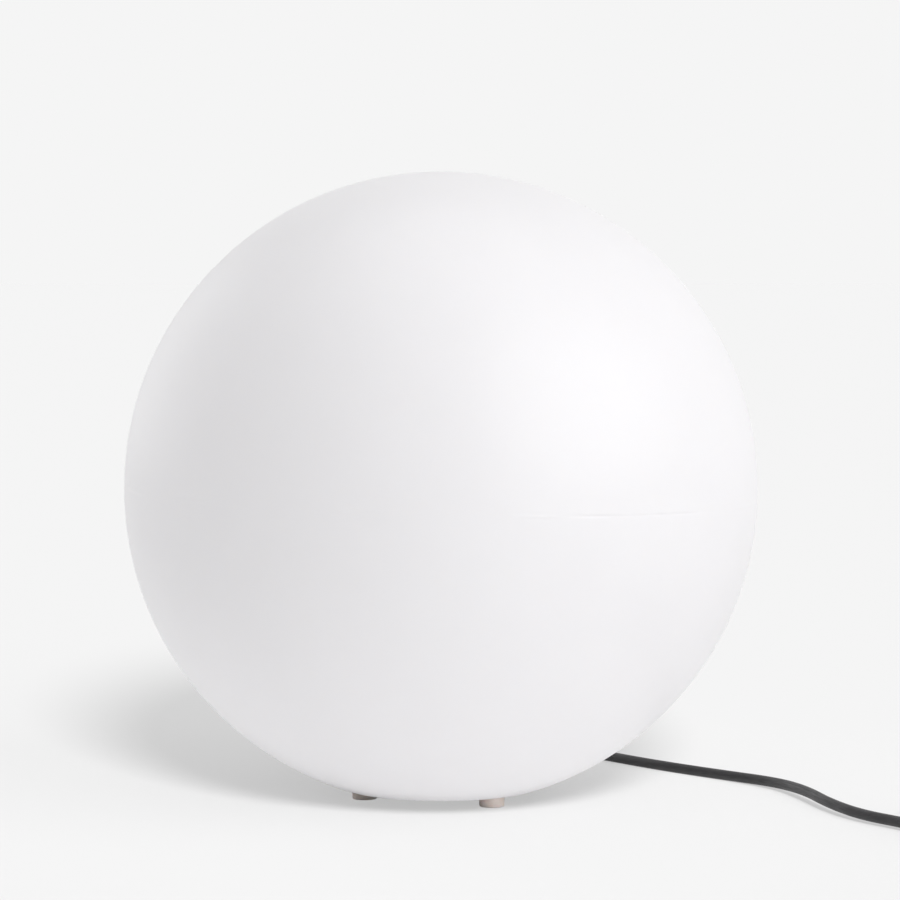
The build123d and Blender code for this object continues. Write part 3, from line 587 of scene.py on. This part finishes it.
class GLOBE_OT_make_straps(bpy.types.Operator):
    """Make the two hook-and-loop straps that hold the coil, each with its free end lapped over the top"""

    bl_idname = "globe_light.make_straps"
    bl_label = "Make straps"

    def execute(self, context):
        cable = context.scene.globe_light_cable
        centre, yaw = coil_frame(cable)
        half, t = cable.diameter / 2, cable.strap_thickness
        side_gap, end_gap, band_corner, strap_corner = 1.5 * MM, 0.3 * MM, 2.4 * MM, 0.45 * MM
        lap_share, lap_thickness, lap_shift, lap_lift = 0.62, t * 0.9, 1.5 * MM, 1.45 * t
        inner = cable.coil_radius - cable.coil_pitch * cable.turns - half - side_gap
        outer = cable.coil_radius + half + side_gap
        low, high = -half - end_gap, cable.coil_rise * (cable.layers - 1) + half + end_gap
        band = oblong(outer - inner + t, high - low + t, band_corner, 8)
        shift = np.array([(inner + outer) / 2, (low + high) / 2])
        lap = oblong(lap_share * (outer - inner), lap_thickness, 0.5 * MM, 4)
        lap = lap + ((inner + outer) / 2 + lap_shift, high + lap_lift)
        flat = oblong(cable.strap_width, t, strap_corner, 5)
        outward = band - band.mean(0)
        outward /= np.linalg.norm(outward, axis=1, keepdims=True)
        middle = band + shift
        across, through = flat.T
        ring = np.stack([middle[:, None, 0] + outward[:, None, 0] * through, 0 * middle[:, None, 0] + across,
                         middle[:, None, 1] + outward[:, None, 1] * through], -1)
        loop = ring.reshape(-1, 3), grid_faces(len(band), len(flat), ring=True)
        points, faces = prism(lap, -cable.strap_width / 2, cable.strap_width / 2)
        lapped = points[:, [0, 2, 1]], faces
        straps = []
        for angle in (60, 240):
            matrix = Matrix.Translation(centre) @ Matrix.Rotation(yaw + radians(angle), 4, "Z")
            straps += [placed(loop, matrix), placed(lapped, matrix)]
        piece = solid("coil_straps", together(*straps), 50)
        fit(piece, strap_fleece(), "base", "grey_polyamide", "coil_ties")
        return {"FINISHED"}


class GLOBE_OT_make_plug(bpy.types.Operator):
    """Make the moulded plug: a slotted bend relief, a waisted grip with finger ribs, and a face with flats"""

    bl_idname = "globe_light.make_plug"
    bl_label = "Make plug"

    def execute(self, context):
        cable = context.scene.globe_light_cable
        tail = tail_points(cable)
        heading = (tail[-1] - tail[-2]).normalized()
        grip_end, face_start, face_end = 52, 52.2, 59
        x = np.concatenate([np.linspace(0, grip_end, 131), np.linspace(face_start, 54, 10),
                            np.linspace(54.5, face_end, 6), face_end + np.sin(np.linspace(0.3, pi / 2, 5))])
        a = np.linspace(0, tau, 96, endpoint=False)[None, :]
        width = np.interp(x, PLUG_PLACES, PLUG_WIDTHS)
        thickness = np.interp(x, PLUG_PLACES, PLUG_THICKNESSES)
        power = np.interp(x, [0, 22, 40, 60], [2.0, 2.1, 2.9, 3.2])[:, None]
        slot_reach, rib_width, rib_height = 1.4, 0.9, 0.7
        slots = sum(np.clip(slot_reach - np.abs(x - place), 0, 1) for place in PLUG_SLOTS)
        ribs = sum(np.exp(-(((x - place) / rib_width) ** 2)) for place in PLUG_RIBS)
        c, s = np.cos(a), np.sin(a)
        norm = (np.abs(c) ** power + np.abs(s) ** power) ** (-1 / power)
        sides = ribs[:, None] * np.clip(np.abs(c) - 0.35, 0, 1)
        y = ((width / 2 - slots)[:, None] + rib_height * sides) * norm * c
        z = ((thickness / 2 - slots)[:, None] + rib_height * sides) * norm * s
        half_width, half_height, flatness = 18.5, 13.5, 1.6
        full = np.tanh(half_width / half_height * flatness)
        face_y, face_z = half_width * c, half_height * np.tanh(half_width * s / half_height * flatness) / full
        blend_length, edge_round, edge_radius = 1.8, 0.9, 18
        blend = np.clip((x - face_start) / blend_length, 0, 1)[:, None]
        blend = blend**2 * (3 - 2 * blend)
        past = 1 - np.cos(np.arcsin(np.clip(x - face_end, 0, 1)))
        edge = np.where(x > face_end, 1 - edge_round * past / edge_radius, 1)[:, None]
        y, z = (y + (face_y - y) * blend) * edge, (z + (face_z - z) * blend) * edge
        rows = np.stack([x[:, None] + 0 * y, y, z], -1)
        ends = rows[[0]] * (1, 0, 0), rows[[-1]] * (1, 0, 0)
        points = np.concatenate([ends[0], rows, ends[1]]) * MM
        body = points.reshape(-1, 3), grid_faces(len(points), a.size)
        matrix = Matrix.Translation(tail[-1]) @ Matrix.Rotation(atan2(heading.y, heading.x), 4, "Z")
        piece = solid("moulded_plug", placed(body, matrix), 50)
        bridge_thickness, bridge_width, bridge_back, past_face = 13.0 * MM, 29.0 * MM, 57.0 * MM, 62.0 * MM
        bridge = oblong(bridge_thickness, bridge_width, 4.0 * MM)
        pocket, faces = prism(bridge, bridge_back, past_face)
        cut(piece, placed((pocket[:, [2, 1, 0]], faces), matrix))
        fit(piece, moulded_rubber(), "base", "black_plug_rubber", "plug_body")
        return {"FINISHED"}


class GLOBE_OT_lay_cable(bpy.types.Operator):
    """Lay the rubber cable from the sleeve along the floor into its put-away coil and its plug"""

    bl_idname = "globe_light.lay_cable"
    bl_label = "Lay cable"

    def execute(self, context):
        cable = context.scene.globe_light_cable
        line = smooth_line(np.array([*run_points(), *coil_points(cable), *tail_points(cable)]))
        piece = tube("rubber_cable", line, cable.diameter / 2, 24, ALONG_EXIT)
        fit(piece, rubber_sheath(), "base", "black_rubber_cable", "cable_run", "cable_coil", "cable_tail")
        return {"FINISHED"}


class GLOBE_OT_make_sleeve(bpy.types.Operator):
    """Make the tapered rubber sleeve in the turret's roof, with grooves that let it bend, and the cable
    in it"""

    bl_idname = "globe_light.make_sleeve"
    bl_label = "Make sleeve"

    def execute(self, context):
        screw_head, tip_wall, half_groove = 2.4 * MM, 1.2 * MM, 0.7 * MM
        roof_low, roof_high = LOW["holder_screws"].z + screw_head, LOW["holder_base"].z
        bore, neck, root, flange = (r * MM for r in (3.35, 6.0, 8.5, 8.5))
        tip_low, top = LOW["cable_sleeve"].z, HIGH["cable_sleeve"].z
        tip = bore + tip_wall
        fall = (root - tip) / (roof_low - tip_low)
        grooves = [roof_low - depth * MM for depth in (4.0, 7.4, 10.8, 14.2)]
        outline = [(bore, tip_low), (tip, tip_low)]
        for groove in reversed(grooves):
            low, high = groove - half_groove, groove + half_groove
            outside_low, outside_high = tip + fall * (low - tip_low), tip + fall * (high - tip_low)
            outline += [(outside_low, low), (outside_low - 0.9 * MM, low), (outside_high - 1.1 * MM, high),
                        (outside_high, high)]
        outline += [(root, roof_low), (neck, roof_low), (neck, roof_high), (flange, roof_high), (flange, top),
                    (bore, top)]
        sleeve = solid("ribbed_sleeve", lathe(rounded(outline, 0.3 * MM, 4), 72, ring=True), 50)
        fit(sleeve, moulded_rubber(), "base", "black_plug_rubber", "cable_sleeve")

        low, high = LOW["cable_inner"].z, HIGH["cable_inner"].z
        radius = HIGH["cable_inner"].x
        sheath = 0.8 * MM
        outline = rounded([
            (0, low), (radius, low), (radius, high), (radius - sheath, high),
            (radius - sheath, high - sheath / 2), (0, high - sheath / 2)], 0.2 * MM, 4, closed=False)
        inner = solid("cable_in_holder", lathe(outline, 48))
        fit(inner, rubber_sheath(), "base", "black_rubber_cable", "cable_inner")
        return {"FINISHED"}


# Places where the two mould halves don't quite meet: degrees round the ball, spread in degrees, and height
# as a share of the ridge's. Negative is a groove. The first five face the camera.
SEAM_MARKS = [
    (-74, 2.5, 0.6), (-62, 3.5, -0.9), (-47, 5.5, -0.85), (-105, 4.0, 0.3), (-20, 5.0, 0.4), (18, 6.0, -0.5),
    (60, 4.0, 0.6), (96, 7.0, -0.4), (140, 5.0, 0.5), (198, 4.5, -0.6), (222, 4.0, 0.4),
]


def parting_line(u):
    """Height of the parting line round the ball: the sum of height exp((cos(u - place) - 1) / spread^2)."""
    marks = np.array(SEAM_MARKS)[:, :, None]
    place, spread = np.radians(marks[:, 0]), np.radians(marks[:, 1])
    return (marks[:, 2] * np.exp((np.cos(u - place) - 1) / spread**2)).sum(0)


def shell_surface(globe):
    """Ball in polar angle v from the crown and turn u: x = r sin v cos u, y = r sin v sin u,
    z = centre + r cos v. Outside, v is shifted so that its equator follows the sloping parting line, where a
    narrow ridge r = radius + relief(u) exp(-(distance / width)^2) stands on it. Then come the rim, the recess
    for the base plate, the flange with the mouth, and the inner wall back to the crown."""
    u = np.linspace(0, tau, globe.columns, endpoint=False)
    rim_angle = pi - np.arcsin((globe.rim_radius + globe.rim_round) / globe.radius)
    coarse = np.linspace(0, rim_angle, globe.rows)
    band = 3 * globe.seam_width / globe.radius
    near_seam = pi / 2 + np.linspace(-band, band, 15)
    v = np.sort(np.concatenate([coarse[np.abs(coarse - pi / 2) > band * 1.2], near_seam]))[:, None]
    widths_away = (v - pi / 2) * globe.radius / globe.seam_width
    relief = globe.seam_relief * parting_line(u) * np.exp(-(widths_away**2))
    falloff = np.clip(1 - ((v - pi / 2) / radians(60)) ** 2, 0, 1) ** 2
    shifted = v + falloff * (globe.seam_drop / globe.radius + globe.seam_slope * np.cos(u))
    outer_r, outer_z = (globe.radius + relief) * np.sin(shifted), (globe.radius + relief) * np.cos(shifted)
    inner_radius = globe.radius - globe.wall
    inner_start = pi - np.arcsin(globe.rim_radius / inner_radius)
    seat, top = SEAT_HEIGHT - GLOBE_CENTRE, SEAT_HEIGHT + globe.flange - GLOBE_CENTRE
    rim = RIM_HEIGHT - GLOBE_CENTRE
    last = (globe.radius * sin(rim_angle), globe.radius * cos(rim_angle))
    edge = rounded([
        last, (globe.rim_radius, rim), (globe.recess_radius, rim), (globe.recess_radius, seat),
        (globe.mouth_radius, seat), (globe.mouth_radius, top), (globe.rim_radius, top),
        (globe.rim_radius, inner_radius * cos(inner_start))], globe.rim_round, closed=False)[5:]
    inner = np.linspace(inner_start, 0, 72)
    inside = np.stack([inner_radius * np.sin(inner), inner_radius * np.cos(inner)], -1)
    rest = np.concatenate([edge[:-5], inside])
    r = np.concatenate([outer_r, np.repeat(rest[:, :1], globe.columns, 1)])
    z = GLOBE_CENTRE + np.concatenate([outer_z, np.repeat(rest[:, 1:], globe.columns, 1)])
    points = np.stack([r * np.cos(u), r * np.sin(u), z], -1).reshape(-1, 3)
    return points, grid_faces(len(r), globe.columns)


class GLOBE_OT_make_shell(bpy.types.Operator):
    """Make the moulded ball with its parting line, rim, flange and screw bosses"""

    bl_idname = "globe_light.make_shell"
    bl_label = "Make ball"

    def execute(self, context):
        globe = context.scene.globe_light_globe
        piece = solid("opal_ball", shell_surface(globe))
        top = SEAT_HEIGHT + globe.flange
        inside = SEAT_HEIGHT + globe.flange / 2
        roof = top + globe.boss_height
        boss = rounded([(0, inside), (globe.boss_radius, inside), (globe.boss_radius, roof), (0, roof)],
                       1.2 * MM, closed=False)
        bore = [(0, 0), (globe.screw_hole, 0), (globe.screw_hole, top), (globe.insert_radius, top),
                (globe.insert_radius, top + globe.insert_depth), (0, top + globe.insert_depth)]
        cut(piece, together(*[lathe(boss, 48, place) for place in FOOT_PLACES]), "UNION")
        cut(piece, together(*[lathe(bore, 48, place) for place in FOOT_PLACES]))
        fit(piece, opal_polyethylene(), "globe", "opal_polyethylene", "globe_shell")
        return {"FINISHED"}


class GLOBE_OT_make_feet(bpy.types.Operator):
    """Make the three silicone feet, each with a recess for its screw and a slightly crowned side"""

    bl_idname = "globe_light.make_feet"
    bl_label = "Make feet"

    def execute(self, context):
        material = moulded_silicone()
        for name, place in zip(FEET, FOOT_PLACES):
            radius, height = (HIGH[name].x - LOW[name].x) / 2, HIGH[name].z
            recess, recess_depth, hole, draft = 4.5 * MM, 5.0 * MM, 2.25 * MM, 0.15 * MM
            outline = rounded([
                (radius - draft, 0), (radius, height / 2), (radius - draft, height), (hole, height),
                (hole, recess_depth), (recess, recess_depth), (recess, 0)],
                np.array([0.9, 3.0, 0.4, 0.2, 0.2, 0.3, 0.5]) * MM)
            piece = solid(name.replace("rubber", "silicone"), lathe(outline, 72, place, ring=True))
            fit(piece, material, "base", "beige_silicone", name)
        return {"FINISHED"}


class GLOBE_OT_make_gasket(bpy.types.Operator):
    """Make the rubber gasket in the base plate's groove, with its top edges rounded"""

    bl_idname = "globe_light.make_gasket"
    bl_label = "Make gasket"

    def execute(self, context):
        outer, low, high = HIGH["base_gasket"].x, LOW["base_gasket"].z, HIGH["base_gasket"].z
        inner = outer - 3.2 * MM
        outline = rounded([(inner, low), (outer, low), (outer, high), (inner, high)],
                          np.array([0.3, 0.3, 1.1, 1.1]) * MM, 6)
        piece = solid("moulded_gasket", lathe(outline, 144, ring=True))
        fit(piece, black_epdm(), "base", "black_epdm", "base_gasket")
        return {"FINISHED"}


def grip_ribs(count, depth, low, high):
    """Relief of upright grip ribs on an outer wall, faded out at their ends: -depth |sin(count u / 2)|^3."""
    fade = 1.2 * MM

    def relief(r, h, u):
        window = np.clip((h - low) / fade, 0, 1) * np.clip((high - h) / fade, 0, 1)
        outer = r > r.max() - 0.05 * MM
        return -depth * window * outer * np.abs(np.sin(count * u / 2)) ** 3
    return relief


def screw_thread(depth, low, high, fade):
    """Relief of a round right-hand thread, faded out at its ends:
    -depth (1 + cos(2 pi h / pitch - u)) / 2."""
    def relief(r, h, u):
        window = np.clip((h - low) / fade, 0, 1) * np.clip((high - h) / fade, 0, 1)
        return -depth * window * (1 + np.cos(tau * h / THREAD_PITCH - u)) / 2
    return relief


class GLOBE_OT_make_holder(bpy.types.Operator):
    """Make the lampholder: a ribbed cup with its bosses and cord pad, a ribbed outer sleeve, the ceramic
    insert and the threaded contact"""

    bl_idname = "globe_light.make_holder"
    bl_label = "Make lampholder"

    def execute(self, context):
        black = black_pbt()
        wall, rib_count, rib_depth = 2.5 * MM, 48, 0.6 * MM
        radius, low, high = HIGH["holder_base"].x, LOW["holder_base"].z, HIGH["holder_base"].z
        inner, floor = radius - wall, low + 3.0 * MM
        cord_hole, recess_top = 9.0 * MM, low + 2.3 * MM
        rows = [(radius, h) for h in np.linspace(low, high, 60)]
        outline = rounded([(cord_hole, recess_top), (cord_hole, low), *rows, (inner, high), (inner, floor),
                           (cord_hole, floor)], 0.5 * MM, 3)
        grip = grip_ribs(rib_count, rib_depth, low + 18 * MM, high - 2 * MM)
        cup = solid("ribbed_cup", lathe(outline, 288, ring=True, relief=grip))
        turn = Matrix.Rotation(EXIT_ANGLE, 4, "Z")
        boss_radius, boss_top, boss_place = 4 * MM, low + 12 * MM, 15 * MM
        bore, bore_top = 1.8 * MM, low + 11 * MM
        boss = rounded([(0, low + MM), (boss_radius, low + MM), (boss_radius, boss_top), (0, boss_top)],
                       0.5 * MM, closed=False)
        hole = [(0, low - MM), (bore, low - MM), (bore, bore_top), (0, bore_top)]
        pad = oblong(6.5 * MM, 21 * MM, 0.6 * MM) + (6.6 * MM, 0)
        places = [(0, side * boss_place) for side in (-1, 1)]
        cut(cup, placed(together(*[lathe(boss, 40, place) for place in places]), turn), "UNION")
        cut(cup, placed(prism(pad, low + 0.2 * MM, boss_top), turn), "UNION")
        cut(cup, placed(together(*[lathe(hole, 32, place) for place in places]), turn))
        bolt_radius, bolt_length, bolt_place, bolt_height = 1.45 * MM, 8.85 * MM, 7.5 * MM, 8 * MM
        bolt = rounded([(0, -MM), (bolt_radius, -MM), (bolt_radius, bolt_length), (0, bolt_length)], 0, 2,
                       closed=False)
        lying = Matrix.Rotation(pi / 2, 4, "Y")
        level = [Matrix.Translation((0, side * bolt_place, low + bolt_height)) @ lying for side in (-1, 1)]
        cut(cup, together(*[placed(lathe(bolt, 32), turn @ place) for place in level]))
        recess = [(0, low - MM), (cord_hole, low - MM), (cord_hole, recess_top), (0, recess_top)]
        cut(cup, lathe(recess, 64))
        fit(cup, black, "base", "black_pbt", "holder_base")

        low, high = LOW["holder_shell"].z, HIGH["holder_shell"].z
        lip, lip_low = 15.5 * MM, high - 3 * MM
        rows = [(radius, h) for h in np.linspace(low, high, 48)]
        outline = rounded([(inner, low), *rows, (lip, high), (lip, lip_low), (inner, lip_low)], 0.8 * MM, 4)
        grip = grip_ribs(rib_count, rib_depth, low + 1.5 * MM, high - 9 * MM)
        sleeve = solid("ribbed_holder_sleeve", lathe(outline, 288, ring=True, relief=grip))
        fit(sleeve, black, "base", "black_pbt", "holder_shell")

        low, seat = LOW["holder_insert"].z, LOW["holder_shell"].z
        top, cup_top = HIGH["holder_insert"].z, HIGH["holder_base"].z
        body, collar = inner - 0.05 * MM, 16 * MM
        outline = rounded([(0, low), (body, low), (body, cup_top), (radius, cup_top), (radius, seat),
                           (collar, seat), (collar, top), (0, top)], 0.4 * MM, closed=False)
        insert = solid("pressed_insert", lathe(outline, 120))
        fit(insert, steatite(), "base", "steatite", "holder_insert")

        low, high = LOW["screw_contact"].z, HIGH["screw_contact"].z
        bore, foot, sheet, thread_depth = 13.7 * MM, 11.2 * MM, 0.4 * MM, 1.15 * MM
        heights = np.linspace(low, high, 110)
        outline = [(foot, low), *[(bore + sheet, h) for h in heights],
                   *[(bore, h) for h in heights[::-1][:-3]], (foot, low + sheet)]
        thread = screw_thread(thread_depth, low + 2 * MM, high - MM, 1.2 * MM)
        contact = solid("threaded_contact", lathe(outline, 144, ring=True, relief=thread), 60)
        fit(contact, nickel_brass(), "base", "nickel_brass", "screw_contact")
        return {"FINISHED"}


class GLOBE_OT_make_cores(bpy.types.Operator):
    """Make the two insulated cores that leave the cut sheath for their terminals"""

    bl_idname = "globe_light.make_cores"
    bl_label = "Make cores"

    def execute(self, context):
        turn = np.array(Matrix.Rotation(EXIT_ANGLE, 3, "Z"))
        low, terminal = LOW["live_core"].z, LOW["terminal_blocks"].z
        for name, side, material in (("live_core", 1, brown_pvc()), ("neutral_core", -1, blue_pvc())):
            near, far = side * 1.4 * MM, side * 10 * MM
            route = np.array([(0, near, low), (0, near, low + 3.4 * MM), (0, far, terminal - 3.4 * MM),
                              (0, far, terminal + 5 * MM)]) @ turn.T
            across = tuple(turn @ (0, side, 0))[:2]
            piece = tube(name.replace("core", "wire"), smooth_line(route), 1.1 * MM, 20, across, 0.1 * MM)
            fit(piece, material, "base", name.replace("live", "brown").replace("neutral", "blue"), name)
        return {"FINISHED"}


class GLOBE_OT_make_bulb(bpy.types.Operator):
    """Make the bulb: a threaded cap with its glass insulator and tip, a flared housing and a frosted dome"""

    bl_idname = "globe_light.make_bulb"
    bl_label = "Make bulb"

    def execute(self, context):
        low, high, radius = LOW["bulb_cap"].z, HIGH["bulb_cap"].z, HIGH["bulb_cap"].x
        sheet, rim, shoulder, thread_depth = 0.5 * MM, 10.2 * MM, 11.2 * MM, MM
        heights = np.linspace(low + 2.4 * MM, high, 100)
        outline = [(rim, low + sheet), (rim, low), (11.4 * MM, low), (12.4 * MM, low + 0.9 * MM),
                   *[(radius, h) for h in heights], *[(radius - sheet, h) for h in heights[::-1]],
                   (shoulder, low + sheet)]
        thread = screw_thread(thread_depth, low + 2.6 * MM, high - 2.5 * MM, 1.2 * MM)
        cap = solid("threaded_cap", lathe(outline, 144, ring=True, relief=thread), 60)
        fit(cap, nickel_brass(), "bulb", "nickel_brass", "bulb_cap")

        tip_low, tip_high, tip = LOW["bulb_tip"].z, HIGH["bulb_tip"].z, HIGH["bulb_tip"].x
        outline = rounded([(0, tip_low), (tip * 0.55, tip_low), (tip, tip_low + 0.7 * MM), (tip, tip_high),
                           (0, tip_high)], 0.5 * MM, closed=False)
        contact = solid("tip_contact", lathe(outline, 64))
        fit(contact, nickel_brass(), "bulb_foot", "nickel_brass", "bulb_tip")
        outline = rounded([(0, tip_high), (tip + 0.6 * MM, tip_high), (shoulder, low - 0.6 * MM),
                           (shoulder, low), (0, low)], 0.4 * MM, closed=False)
        insulator = solid("glass_insulator", lathe(outline, 96))
        fit(insulator, black_glass(), "bulb_foot", "black_glass", "bulb_insulator")

        low, high, mouth = LOW["bulb_housing"].z, HIGH["bulb_housing"].z, HIGH["bulb_housing"].x
        wall, foot, step = 1.4 * MM, 14.0 * MM, 4.0 * MM
        t = np.linspace(0, 1, 24)
        flare = np.stack([foot + 1.2 * MM + (mouth - foot - 1.2 * MM) * (0.45 * t + 0.55 * t**2),
                          low + step + (high - low - step) * t], -1)
        outside = np.concatenate([[(foot, low), (foot + 0.2 * MM, low + 2.4 * MM)], flare])
        inside = np.concatenate([[(foot - wall, low)], flare - (wall, 0)])[::-1]
        outline = rounded(np.concatenate([outside, inside]), 0.4 * MM, 3)
        housing = solid("flared_housing", lathe(outline, 120, ring=True))
        fit(housing, white_pbt(), "bulb", "white_pbt", "bulb_housing")

        top, dome = HIGH["bulb_envelope"].z, HIGH["bulb_envelope"].x
        centre, cut_height = top - dome, LOW["bulb_envelope"].z
        last = pi / 2 + np.arcsin((centre - cut_height) / dome)
        v = np.linspace(0, last, 72)
        outer = np.stack([dome * np.sin(v), centre + dome * np.cos(v)], -1)
        inner = np.stack([(dome - wall) * np.sin(v), centre + (dome - wall) * np.cos(v)], -1)
        inner[:, 1] = np.maximum(inner[:, 1], cut_height)
        envelope = solid("frosted_dome", lathe(np.concatenate([outer, inner[::-1]]), 144))
        fit(envelope, opal_polycarbonate(), "bulb", "opal_polycarbonate", "bulb_envelope")
        return {"FINISHED"}


class GLOBE_OT_dress_hardware(bpy.types.Operator):
    """Give the pieces of the construction model that stay their real finishes"""

    bl_idname = "globe_light.dress_hardware"
    bl_label = "Dress hardware"

    def execute(self, context):
        finishes = [
            (turned_brass(), ["shell_inserts", "terminal_blocks"]),
            (stainless_steel(), ["foot_washers", "foot_screws"]),
            (polypropylene(), ["base_plate"]),
            (black_pbt(), ["plug_bridge"]),
            (zinc_steel(), ["holder_screws", "clamp_screws", "terminal_screws"]),
            (glass_filled_polyamide(), ["cord_clamp"]),
            (nickel_brass(), ["centre_contact", "plug_pins"]),
            (led_board(), ["bulb_board"]),
            (phosphor(), ["bulb_leds"]),
            (driver_board(), ["bulb_driver"]),
        ]
        for material, names in finishes:
            for name in names:
                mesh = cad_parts[name].data
                mesh.materials.clear()
                mesh.materials.append(material)
        return {"FINISHED"}


def seen_rays(tree):
    """1 for the rays that show the stage itself or its mirror image, and 0 for those that carry its light."""
    ray = put(tree, "ShaderNodeLightPath")
    mirrored = put(tree, "ShaderNodeMath", [
        (0, ray.outputs["Is Glossy Ray"]), (1, ray.outputs["Is Transmission Ray"])], operation="MAXIMUM")
    seen = put(tree, "ShaderNodeMath", [
        (0, ray.outputs["Is Camera Ray"]), (1, mirrored.outputs[0])], operation="MAXIMUM")
    return seen.outputs[0]


class GLOBE_OT_set_stage(bpy.types.Operator):
    """Set the camera, the plain pale floor, the even sky and the soft lamps"""

    bl_idname = "globe_light.set_stage"
    bl_label = "Set stage"

    def execute(self, context):
        stage = context.scene.globe_light_stage
        scene = context.scene
        camera = bpy.data.cameras.new("camera")
        camera.lens, camera.sensor_width, camera.clip_end = 128.0, 36.0, 500.0
        view = bpy.data.objects.new("camera", camera)
        view.location = (0.005677, -2.02485, 0.33725)
        view.rotation_euler = (radians(90 - 3.283), 0, 0)
        scene.collection.objects.link(view)
        scene.camera = view

        world = bpy.data.worlds.new("even_sky")
        world.use_nodes = True
        tree = world.node_tree
        tree.nodes.clear()
        even = put(tree, "ShaderNodeBackground", [("Color", (1, 1, 1, 1)), ("Strength", stage.sky)])
        shown = put(tree, "ShaderNodeBackground", [("Color", (*stage.background, 1)), ("Strength", 1.0)])
        mixed = put(tree, "ShaderNodeMixShader", [
            (0, seen_rays(tree)), (1, even.outputs[0]), (2, shown.outputs[0])])
        put(tree, "ShaderNodeOutputWorld", [("Surface", mixed.outputs[0])])
        scene.world = world

        reach = 60.0
        corners = [(-reach, -reach, 0), (reach, -reach, 0), (reach, reach, 0), (-reach, reach, 0)]
        mesh = bpy.data.meshes.new("floor")
        mesh.from_pydata(corners, [], [(0, 1, 2, 3)])
        floor = bpy.data.objects.new("floor", mesh)
        scene.collection.objects.link(floor)
        material, tree, shader = principled("pale_floor", {"Roughness": 0.9, "Specular IOR Level": 0.0})
        seen = seen_rays(tree)
        full = np.array(stage.floor_colour)
        shaded = put(tree, "ShaderNodeMix", [
            ("Factor", seen), (6, (*full, 1)), (7, (*full * stage.shadow_share, 1))], data_type="RGBA")
        lift = put(tree, "ShaderNodeMath", [(0, seen), (1, stage.floor_lift)], operation="MULTIPLY")
        tree.links.new(shaded.outputs[2], shader.inputs["Base Color"])
        shader.inputs["Emission Color"].default_value = (1, 1, 1, 1)
        tree.links.new(lift.outputs[0], shader.inputs["Emission Strength"])
        mesh.materials.append(material)

        lamps = [
            ("softbox", (0.682, -0.533, 0.5), 60, stage.softbox),
            ("overhead", (0, 0, 1), 60, stage.overhead),
            ("rear_fill", (-0.754, 0.633, 0.174), 50, stage.rear_fill),
            ("floor_key", (0.150, -0.853, 0.500), 14, stage.floor_key),
        ]
        for name, direction, width, strength in lamps:    # the last one is kept for the floor alone
            light = bpy.data.lights.new(name, "SUN")
            light.energy, light.angle = strength, radians(width)
            lamp = bpy.data.objects.new(name, light)
            lamp.rotation_euler = Vector(direction).to_track_quat("Z", "Y").to_euler()
            scene.collection.objects.link(lamp)
        floor_alone = bpy.data.collections.new("floor_alone")
        floor_alone.objects.link(floor)
        lamp.light_linking.receiver_collection = floor_alone

        scene.view_settings.view_transform = "Standard"
        return {"FINISHED"}


# ---- panel and registration ------------------------------------------------------------------------

OPERATORS = [
    GLOBE_OT_set_stage, GLOBE_OT_make_straps, GLOBE_OT_make_plug, GLOBE_OT_lay_cable, GLOBE_OT_make_sleeve,
    GLOBE_OT_make_shell, GLOBE_OT_make_feet, GLOBE_OT_make_gasket, GLOBE_OT_make_holder, GLOBE_OT_make_cores,
    GLOBE_OT_make_bulb, GLOBE_OT_dress_hardware,
]
SETTINGS = {
    "globe_light_globe": GlobeSizes,
    "globe_light_cable": CableSizes,
    "globe_light_stage": StageSizes,
}


class GLOBE_PT_panel(bpy.types.Panel):
    """Steps that dress the globe light, with their sizes"""

    bl_idname = "GLOBE_PT_panel"
    bl_label = "Globe light"
    bl_space_type = "VIEW_3D"
    bl_region_type = "UI"
    bl_category = "Globe light"

    def draw(self, context):
        for step in OPERATORS:
            self.layout.operator(step.bl_idname)
        for group in SETTINGS:
            box = self.layout.box()
            settings = getattr(context.scene, group)
            for name in settings.bl_rna.properties.keys():
                if name not in {"rna_type", "name"}:
                    box.prop(settings, name)


def register():
    """Register the settings, steps and panel."""
    for kind in [*SETTINGS.values(), *OPERATORS, GLOBE_PT_panel]:
        bpy.utils.register_class(kind)
    for name, kind in SETTINGS.items():
        setattr(bpy.types.Scene, name, PointerProperty(type=kind))


def unregister():
    """Remove the panel, steps and settings."""
    for name in SETTINGS:
        delattr(bpy.types.Scene, name)
    for kind in reversed([*SETTINGS.values(), *OPERATORS, GLOBE_PT_panel]):
        bpy.utils.unregister_class(kind)


def main():
    """Run every step in order."""
    register()
    steps = bpy.ops.globe_light
    steps.set_stage()
    steps.make_straps()
    steps.make_plug()
    steps.lay_cable()
    steps.make_sleeve()
    steps.make_shell()
    steps.make_feet()
    steps.make_gasket()
    steps.make_holder()
    steps.make_cores()
    steps.make_bulb()
    steps.dress_hardware()


if __name__ == "__main__":
    main()
